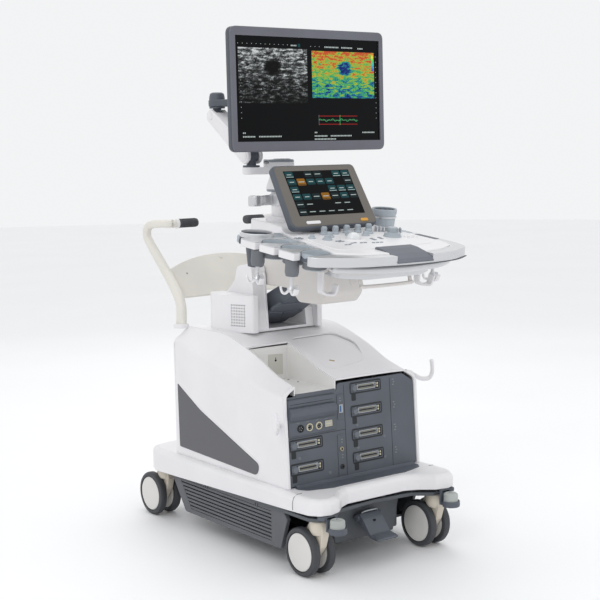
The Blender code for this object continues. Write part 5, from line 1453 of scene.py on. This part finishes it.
def monitor():
    half, tall = .2575, .323
    outline = rounded(rect(-half, 0.0, half, tall), .02, 10)
    frame_face = slab(outline, 0.0, .0072, "y", .003, 4, SCREEN)
    window = slab(rect(-.2425, .0265, .2425, .2995), -.01, .02, "y", 0, place=SCREEN)
    bezel = carved(frame_face, [window])
    finished("screen_frame", "monitor", [(bezel, "bezel_paint")], ["monitor_bezel"])

    shell = slab(outline, .0075, .0265, "y", .0065, 5, SCREEN)
    hump = rounded([(-.15, .06), (.15, .06), (.135, .25), (-.135, .25)], .02)
    parts = [(shell, "bezel_side"), (slab(hump, .024, .048, "y", .007, 4, SCREEN), "bezel_side")]
    slot = block((-.0012, -.012, -.0005), (.0012, .012, .0005), 0)
    for z in (.275, .036):
        place = SCREEN @ moved((0, .0266, z)) @ STAND_UP
        parts.append((grid(slot.copy(), 40, 1, (.0062, .01), place, "dark_gap"), "dark_gap"))
    for side in (-1, 1):
        low, high = sorted((side * .029, side * .038))
        parts.append((block((TILT[0] + low, -.03, 1.19), (TILT[0] + high, .024, 1.22), .003),
            "dark_grey_abs"))
    finished("screen_back", "monitor", parts, ["monitor_housing"])

    parts = [screen_quad(0.0, .485, 0.0, .273, "screen_black", .0002), screen_quad(.01, .234, .1, .243,
        "scan_grey"), screen_quad(.25, .468, .115, .24, "scan_colour"), screen_quad(.4585, .4655, .19,
        .238, "scan_scale", -.0006)]
    for z, finish in ((.066, "trace_red"), (.055, "trace_grey"), (.044, "trace_red")):
        parts.append(screen_quad(.27, .405, z, z + .001, finish))
    wave = []
    for k in range(46):
        x = .27 + .003 * k
        z = .0555 + .004 * sin(k * .9) * cos(k * .37)
        wave.append((x - .2425, .0038, z + .0265))
    parts.append((sweep(wave, even(.0005), 6, SCREEN, (0, 1, 0)), "trace_green"))
    parts.append(screen_quad(.343, .344, .042, .069, "trace_green"))
    parts.append(screen_quad(.27, .2708, .042, .069, "trace_grey"))
    tick = block((-.0008, -.0008, 0), (.0008, .0008, .0003), 0)
    for x, z, columns, rows in ((.09, .253, 12, 1), (.262, .2515, 3, 1), (.016, .145, 1, 13),
            (.474, .145, 1, 13)):
        place = SCREEN @ moved((x - .2425, .0039, z + .0265)) @ STAND_UP
        parts.append((grid(tick.copy(), columns, rows, (.0145, .014), place, "ui_line"), "ui_line"))
    bars = ((.18, .2, .252), (.292, .345, .251), (.352, .392, .251), (.408, .43, .25), (.016, .03,
        .0225), (.016, .06, .013), (.068, .145, .013), (.252, .266, .0225), (.252, .3, .013),
        (.308, .385, .013), (.252, .33, .0045), (.42, .468, .0215))
    for x0, x1, z in bars:
        dash = block((-.0016, -.0018, 0), (.0016, .0018, .0003), 0)
        place = SCREEN @ moved(((x0 + x1) / 2 - .2425, .0039, z + .0265)) @ STAND_UP
        parts.append((grid(dash, max(int((x1 - x0) / .005), 2), 1, (.005, .01), place, "ui_line"),
            "ui_line"))
    parts.append(screen_quad(.204, .212, .248, .257, "ui_teal"))
    finished("screen_image", "monitor", parts, ["display_panel"])


# Finishes -------------------------------------------------------------------
def make_finishes(look, sizes):
    """Every material: most named for what the real surface is, a few for the painted shade that they
    stand in for.
    """
    fine = sizes.grain / MM
    # Injection-moulded ABS with a spark-eroded grain: broad soft highlights, no sparkle.
    moulded("white_abs", look.shell, .4, fine, .02, variation=.02)
    # Painted shade: a darker, warmer copy of the white shell for the carrier, hook feet and drawer trim
    # under the console, standing in for the console's shadow on them.
    moulded("white_abs_painted_shade", look.shell_painted_shade, .44, fine, .02, variation=.03)
    # Cream ABS of a slightly older batch: warmer and a little more matt.
    moulded("cream_abs", look.handle, .5, fine, .022, variation=.04)
    # Glass-filled nylon of the caster forks: waxy, with faint flow marks.
    moulded("beige_nylon", look.forks, .48, fine * 1.6, .03, variation=.07, ior=1.53)
    # Coarse-grained dark ABS: even and dry, the light rolls off slowly.
    moulded("dark_grey_abs", look.dark, .5, fine * 1.3, .035, variation=.1)
    moulded("mid_grey_abs", look.mid, .48, fine, .025, variation=.06)
    moulded("louvre_grey", look.louvre, .55, fine * 1.2, .03, variation=.09)
    moulded("inlay_grey", look.inlay, .42, fine, .02, variation=.04)
    # Powder coat on sheet steel: orange-peel skin about 2 mm across, slightly glossy.
    moulded("chassis_coat", look.undercarriage, .45, 1.8, .05, variation=.1)
    # Textured grey paint with fine aluminium flake: mottled up close, flat from afar.
    moulded("bezel_paint", look.bezel, .38, fine, .02, metallic=.15, variation=.14, flake=.7)
    moulded("bezel_side", look.bezel_side, .45, fine, .03, variation=.08)
    moulded("taupe_bezel", look.touch_bezel, .42, fine, .02, variation=.06)
    # Silver lacquer over ABS: satin, with a slight metallic flip.
    moulded("silver_paint", look.silver, .3, fine, .012, metallic=.6, variation=.03, flake=.5)
    # Blue-grey soft-touch parts: knobs, transducer dishes and the ring holder.
    moulded("blue_grey_dish", look.controls, .46, fine, .02, variation=.05)
    moulded("mid_blue_grey", look.trim, .42, fine, .02, variation=.06)
    moulded("key_grey", look.trim, .4, fine, .015, variation=.04)
    moulded("key_white", look.shell, .35, fine, .015, variation=.02)
    # Polyurethane skin over foam: leather-like grain, a dull wide highlight.
    moulded("palm_grey", look.palm, .62, 1.4, .1, variation=.07)
    # Cast resin, polished: a tight bright highlight under a clear skin.
    moulded("ball_resin", look.ball, .16, 2.0, .002, variation=.05, coat=.5)
    # Nitrile rubber grips and seals: black, dry, faintly dusty.
    moulded("black_rubber", look.rubber, .62, .9, .05, variation=.25)
    moulded("caster_tread", look.tread, .6, 1.1, .05, variation=.12)
    moulded("hub_cap", look.hubs, .42, fine, .02, variation=.03)
    moulded("roller_grey", look.rollers, .5, 1.0, .04, variation=.08)
    # Shadowed gaps, slots and the insides of sockets: unlit matt black.
    moulded("dark_gap", "#0d0e0f", .85, 1.0, .02, variation=.2)
    moulded("recess_shadow", "#25282b", .7, 1.0, .03, variation=.15)
    # Anti-glare display glass with the light off behind it: near black, only a faint sheen.
    moulded("screen_black", "#040507", .2, 4.0, .001, variation=.2, specular=.1)
    # Painted sheet inside the printer bay: smooth and slightly glossy.
    moulded("bay_sheet", "#e6e5e3", .36, 1.5, .02, variation=.03)
    moulded("bay_plate", "#c9c8c0", .4, 1.5, .02, variation=.04)
    # Connector shells: nickel-bright die casting, black and cream phenolic.
    moulded("connector_shell", "#a9adb0", .34, 1.2, .02, metallic=.7, variation=.07)
    moulded("connector_black", "#1c1d1f", .45, .8, .03, variation=.15)
    moulded("connector_cream", "#c9c2a8", .45, .8, .03, variation=.06)
    moulded("contact_gold", "#a39b86", .32, .8, .01, metallic=.8, variation=.06)
    moulded("brass_mark", "#a08a52", .42, .8, .02, metallic=.5, variation=.06)
    moulded("lock_white", look.shell, .34, fine, .015, variation=.02)
    moulded("lock_knob", "#656a72", .36, fine, .02, variation=.05)
    moulded("print_grey", "#7b7f82", .55, .8, .005, variation=.05)
    moulded("usb_blue", "#2c5f96", .4, .8, .01, variation=.06)
    moulded("amber_key", look.amber, .32, fine, .01, variation=.05)
    # Zinc-plated steel: fine rolling marks and a cool sheen.
    brushed_steel("zinc_steel", "#a7abae")
    # Lit display areas.
    glowing("ui_teal", "#16464b", .9)
    glowing("ui_amber", "#8f5f16", 1.0)
    glowing("ui_dim", "#16282b", .8)
    glowing("ui_line", "#c9d6d3", .8)
    glowing("trace_red", "#c8322c", 1.0)
    glowing("trace_green", "#39c46a", 1.0)
    glowing("trace_grey", "#7d8688", .8)
    grey_at = SCREEN @ Vector((.122 - .2425, .004, .1715 + .0265)) + CART
    colour_at = SCREEN @ Vector((.359 - .2425, .004, .1775 + .0265)) + CART
    tissue("scan_grey", SCAN_GREYS, grey_at, (-.004, .022), .224, .143, .24, -.1)
    tissue("scan_colour", SCAN_COLOURS, colour_at, (.004, .018), .218, .125, .34, 0.0)
    foot = (SCREEN @ Vector((0, .004, .19 + .0265)) + CART).z
    colour_scale("scan_scale", foot, foot + .048)


def interior():
    """Parts that stay as designed get their real finish."""
    for name, finish in (("card_cage", "zinc_steel"), ("power_supply", "zinc_steel")):
        slots = frame["nodes"][name].data.materials
        slots.clear()
        slots.append(FINISHES[finish])


# Stage ----------------------------------------------------------------------
def floor(radius, colour):
    made, tree = start_material("matt_floor")
    place = node(tree, "ShaderNodeTexCoord").outputs["Object"]
    cloud = node(tree, "ShaderNodeTexNoise", {"Scale": 1.5, "Detail": 2.0}, {"Vector": place})
    tint = ramp(tree, cloud.outputs["Fac"], [(.3, shade(colour, .99)), (.7, shade(colour, 1.01))])
    shader = node(tree, "ShaderNodeBsdfPrincipled", {"Roughness": .7},
        {"Base Color": tint.outputs["Color"]})
    end_material(tree, shader)
    bm = bmesh.new()
    bmesh.ops.create_circle(bm, cap_ends=True, segments=96, radius=radius)
    mesh = to_mesh(bm, fix=False)
    mesh.materials.append(made)
    obj = bpy.data.objects.new("floor", mesh)
    bpy.context.scene.collection.objects.link(obj)


def camera(lens):
    """Chest height in front of the left corner, looking slightly down."""
    yaw, pitch, roll = radians(37.19), radians(6.97), radians(-.8)
    ahead = Vector((sin(yaw) * cos(pitch), cos(yaw) * cos(pitch), -sin(pitch)))
    flat_right = Vector((cos(yaw), -sin(yaw), 0))
    flat_up = flat_right.cross(ahead)
    right = flat_right * cos(roll) + flat_up * sin(roll)
    up = flat_up * cos(roll) - flat_right * sin(roll)
    data = bpy.data.cameras.new("camera")
    data.sensor_width, data.lens = 36.0, lens
    obj = bpy.data.objects.new("camera", data)
    obj.matrix_world = Matrix((right, up, -ahead)).transposed().to_4x4()
    obj.location = Vector((-2.133, -2.885, 1.082)) + CART
    bpy.context.scene.collection.objects.link(obj)
    bpy.context.scene.camera = obj


def lights(strength):
    world = bpy.data.worlds.new("studio")
    world.use_nodes = True
    background = world.node_tree.nodes["Background"]
    background.inputs["Color"].default_value = srgb("#f6f7f8")
    background.inputs["Strength"].default_value = .97
    bpy.context.scene.world = world
    bpy.context.scene.view_settings.view_transform = "Standard"
    for name, place, size, power in (("key", (-2.6, -1.6, 2.6), 1.4, 15), ("fill", (2.6, -2.4, 1.6),
            2.4, 3), ("top", (.2, .3, 3.4), 2.0, 14), ("back", (1.6, 2.8, 2.2), 2.0, 8)):
        data = bpy.data.lights.new(name, "AREA")
        data.shape, data.size, data.energy = "DISK", size, power * strength
        obj = bpy.data.objects.new(name, data)
        obj.location = place
        aim = Vector((0, 0, .75)) - Vector(place)
        obj.rotation_euler = aim.to_track_quat("-Z", "Y").to_euler()
        bpy.context.scene.collection.objects.link(obj)


# Settings a user would change -------------------------------------------------
def tone(label, note, colour):
    return bpy.props.FloatVectorProperty(name=label, description=note, subtype="COLOR", size=4, min=0,
        max=1, default=srgb(colour))


def length(label, note, metres):
    return bpy.props.FloatProperty(name=label, description=note, default=metres, min=.00001,
        unit="LENGTH", precision=4)


class UltrasoundColours(bpy.types.PropertyGroup):
    shell: tone("Shell", "Upper covers and console", "#e6e5e7")
    # Painted shade: the shell colour darkened and warmed for the parts in the console's shadow
    # (carrier, hook feet, drawer trim), not a colour of their own; the column and arms use the shell
    # colour.
    shell_painted_shade: tone("Lower shell", "Column, arms and lower covers", "#d8d4d0")
    handle: tone("Push handle", "Push handle", "#dfdcd4")
    hubs: tone("Hub caps", "Caster hub caps", "#d8d6d3")
    louvre: tone("Louvres", "Side skirts", "#5e6065")
    forks: tone("Forks", "Caster forks", "#d3cabb")
    dark: tone("Dark plastic", "Brackets, panels and gel cup", "#565b64")
    mid: tone("Mid grey plastic", "Louvres and hangers", "#6b6e73")
    inlay: tone("Side inlay", "Grey panels on the body's flanks", "#5a5a5e")
    undercarriage: tone("Undercarriage", "Powder-coated chassis", "#4f5358")
    bezel: tone("Monitor frame", "Flaked paint around the screen", "#62636c")
    bezel_side: tone("Monitor back", "Housing behind the screen", "#4f535b")
    touch_bezel: tone("Touch panel frame", "Warm grey frame", "#6a655f")
    silver: tone("Silver trim", "Console rim and bands", "#d2d3d5")
    controls: tone("Controls", "Knobs and transducer dishes", "#a9b1b8")
    trim: tone("Trim", "Keys and arm caps", "#8d939b")
    palm: tone("Palm rest", "Soft pad at the front", "#6d7079")
    ball: tone("Trackball", "Polished ball", "#dfe1e3")
    rubber: tone("Rubber", "Handle grips and seals", "#47494d")
    tread: tone("Treads", "Caster tyres", "#404246")
    rollers: tone("Rollers", "Bumper rollers", "#aeb3b0")
    amber: tone("Amber key", "Oblong key beside the touch panel", "#d39a3a")
    floor: tone("Floor", "Studio floor", "#f9f9fa")


class UltrasoundSizes(bpy.types.PropertyGroup):
    grain: length("Moulding grain", "Width of one grain of the moulded covers", .0007)
    hole_pitch: length("Grille pitch", "Distance between the speaker grille's holes", .008)
    hole_radius: length("Grille hole", "Radius of a hole in the speaker grille", .0019)
    floor_radius: length("Floor radius", "Radius of the studio floor", 14.0)
    lens: bpy.props.FloatProperty(name="Lens", description="Focal length of the camera", default=78.64,
        min=10, subtype="DISTANCE_CAMERA")
    light: bpy.props.FloatProperty(name="Light", description="Strength of the studio lights",
        default=1.0, min=0, subtype="FACTOR", soft_max=2)


# Operators --------------------------------------------------------------------
class ULTRASOUND_OT_finishes(bpy.types.Operator):
    """Make the plastics, paints, metals and lit display areas"""
    bl_idname = "ultrasound.finishes"
    bl_label = "Finishes"

    def execute(self, context):
        make_finishes(context.scene.ultrasound_colours, context.scene.ultrasound_sizes)
        interior()
        return {"FINISHED"}


class ULTRASOUND_OT_casters(bpy.types.Operator):
    """Four twin-wheel swivel casters: fork, tyres and hub caps"""
    bl_idname = "ultrasound.casters"
    bl_label = "Casters"

    def execute(self, context):
        for corner, (side, swivel_y) in CORNERS.items():
            caster_fork(corner, side, swivel_y)
            caster_wheels(corner, side, swivel_y)
        return {"FINISHED"}


class ULTRASOUND_OT_base(bpy.types.Operator):
    """Base moulding, louvred skirts, undercarriage, bumper rollers and brake pedal"""
    bl_idname = "ultrasound.base"
    bl_label = "Base"

    def execute(self, context):
        base_cover()
        vent_skirts()
        chassis()
        bumpers()
        brake_pedal()
        return {"FINISHED"}


class ULTRASOUND_OT_body(bpy.types.Operator):
    """Side, top and rear covers with the printer bay"""
    bl_idname = "ultrasound.body"
    bl_label = "Body Covers"

    def execute(self, context):
        body_covers()
        return {"FINISHED"}


class ULTRASOUND_OT_ports(bpy.types.Operator):
    """Dark port panel with transducer sockets, round sockets and jacks"""
    bl_idname = "ultrasound.ports"
    bl_label = "Port Panel"

    def execute(self, context):
        port_panel()
        return {"FINISHED"}


class ULTRASOUND_OT_drive(bpy.types.Operator):
    """Recorder unit with its slots and doors"""
    bl_idname = "ultrasound.drive"
    bl_label = "Drive Unit"

    def execute(self, context):
        drive_unit()
        return {"FINISHED"}


class ULTRASOUND_OT_handle(bpy.types.Operator):
    """Push handle with its curved cross panel and grips, and the cable hooks"""
    bl_idname = "ultrasound.handle"
    bl_label = "Push Handle"

    def execute(self, context):
        push_handle()
        cable_hooks()
        return {"FINISHED"}


class ULTRASOUND_OT_column(bpy.types.Operator):
    """Column cover with its speakers, and the lift arm and carrier"""
    bl_idname = "ultrasound.column"
    bl_label = "Column and Lift"

    def execute(self, context):
        column()
        lift()
        return {"FINISHED"}


class ULTRASOUND_OT_console(bpy.types.Operator):
    """Console deck, silver rim, palm rest, hooks and cable hangers"""
    bl_idname = "ultrasound.console"
    bl_label = "Console"

    def execute(self, context):
        console_deck()
        console_rim()
        return {"FINISHED"}


class ULTRASOUND_OT_controls(bpy.types.Operator):
    """Knobs, keys, slide caps, trackball, stacked dial and keyboard drawer"""
    bl_idname = "ultrasound.controls"
    bl_label = "Controls"

    def execute(self, context):
        console_controls()
        keyboard_drawer()
        return {"FINISHED"}


class ULTRASOUND_OT_holders(bpy.types.Operator):
    """Transducer cups at both sides and the gel cup"""
    bl_idname = "ultrasound.holders"
    bl_label = "Holders"

    def execute(self, context):
        probe_holders()
        return {"FINISHED"}


class ULTRASOUND_OT_touch(bpy.types.Operator):
    """Touch panel with its lit keys"""
    bl_idname = "ultrasound.touch"
    bl_label = "Touch Panel"

    def execute(self, context):
        touch_panel()
        return {"FINISHED"}


class ULTRASOUND_OT_arm(bpy.types.Operator):
    """Monitor post, two arm links, elbow, wrist and tilt head"""
    bl_idname = "ultrasound.arm"
    bl_label = "Monitor Arm"

    def execute(self, context):
        monitor_arm()
        return {"FINISHED"}


class ULTRASOUND_OT_monitor(bpy.types.Operator):
    """Monitor frame, housing and the picture on its screen"""
    bl_idname = "ultrasound.monitor"
    bl_label = "Monitor"

    def execute(self, context):
        monitor()
        return {"FINISHED"}


class ULTRASOUND_OT_stage(bpy.types.Operator):
    """Studio floor, soft lights and the camera"""
    bl_idname = "ultrasound.stage"
    bl_label = "Stage"

    def execute(self, context):
        sizes = context.scene.ultrasound_sizes
        floor(sizes.floor_radius, context.scene.ultrasound_colours.floor)
        lights(sizes.light)
        camera(sizes.lens)
        return {"FINISHED"}


STEPS = (ULTRASOUND_OT_finishes, ULTRASOUND_OT_casters, ULTRASOUND_OT_base, ULTRASOUND_OT_body,
    ULTRASOUND_OT_ports, ULTRASOUND_OT_drive, ULTRASOUND_OT_handle, ULTRASOUND_OT_column,
    ULTRASOUND_OT_console, ULTRASOUND_OT_controls, ULTRASOUND_OT_holders, ULTRASOUND_OT_touch,
    ULTRASOUND_OT_arm, ULTRASOUND_OT_monitor, ULTRASOUND_OT_stage)


class ULTRASOUND_PT_panel(bpy.types.Panel):
    """Lists the building steps and the settings that they read"""
    bl_idname = "ULTRASOUND_PT_panel"
    bl_label = "Ultrasound Machine"
    bl_space_type = "VIEW_3D"
    bl_region_type = "UI"
    bl_category = "Ultrasound"

    def draw(self, context):
        for step in STEPS:
            self.layout.operator(step.bl_idname)
        for group in (context.scene.ultrasound_sizes, context.scene.ultrasound_colours):
            box = self.layout.box()
            for name in group.__annotations__:
                box.prop(group, name)


CLASSES = (UltrasoundColours, UltrasoundSizes, *STEPS, ULTRASOUND_PT_panel)


def register():
    for cls in CLASSES:
        bpy.utils.register_class(cls)
    bpy.types.Scene.ultrasound_colours = bpy.props.PointerProperty(type=UltrasoundColours)
    bpy.types.Scene.ultrasound_sizes = bpy.props.PointerProperty(type=UltrasoundSizes)


def unregister():
    del bpy.types.Scene.ultrasound_sizes
    del bpy.types.Scene.ultrasound_colours
    for cls in reversed(CLASSES):
        bpy.utils.unregister_class(cls)


def main():
    register()
    for step in STEPS:
        group, name = step.bl_idname.split(".")
        getattr(getattr(bpy.ops, group), name)()


if __name__ == "__main__":
    main()
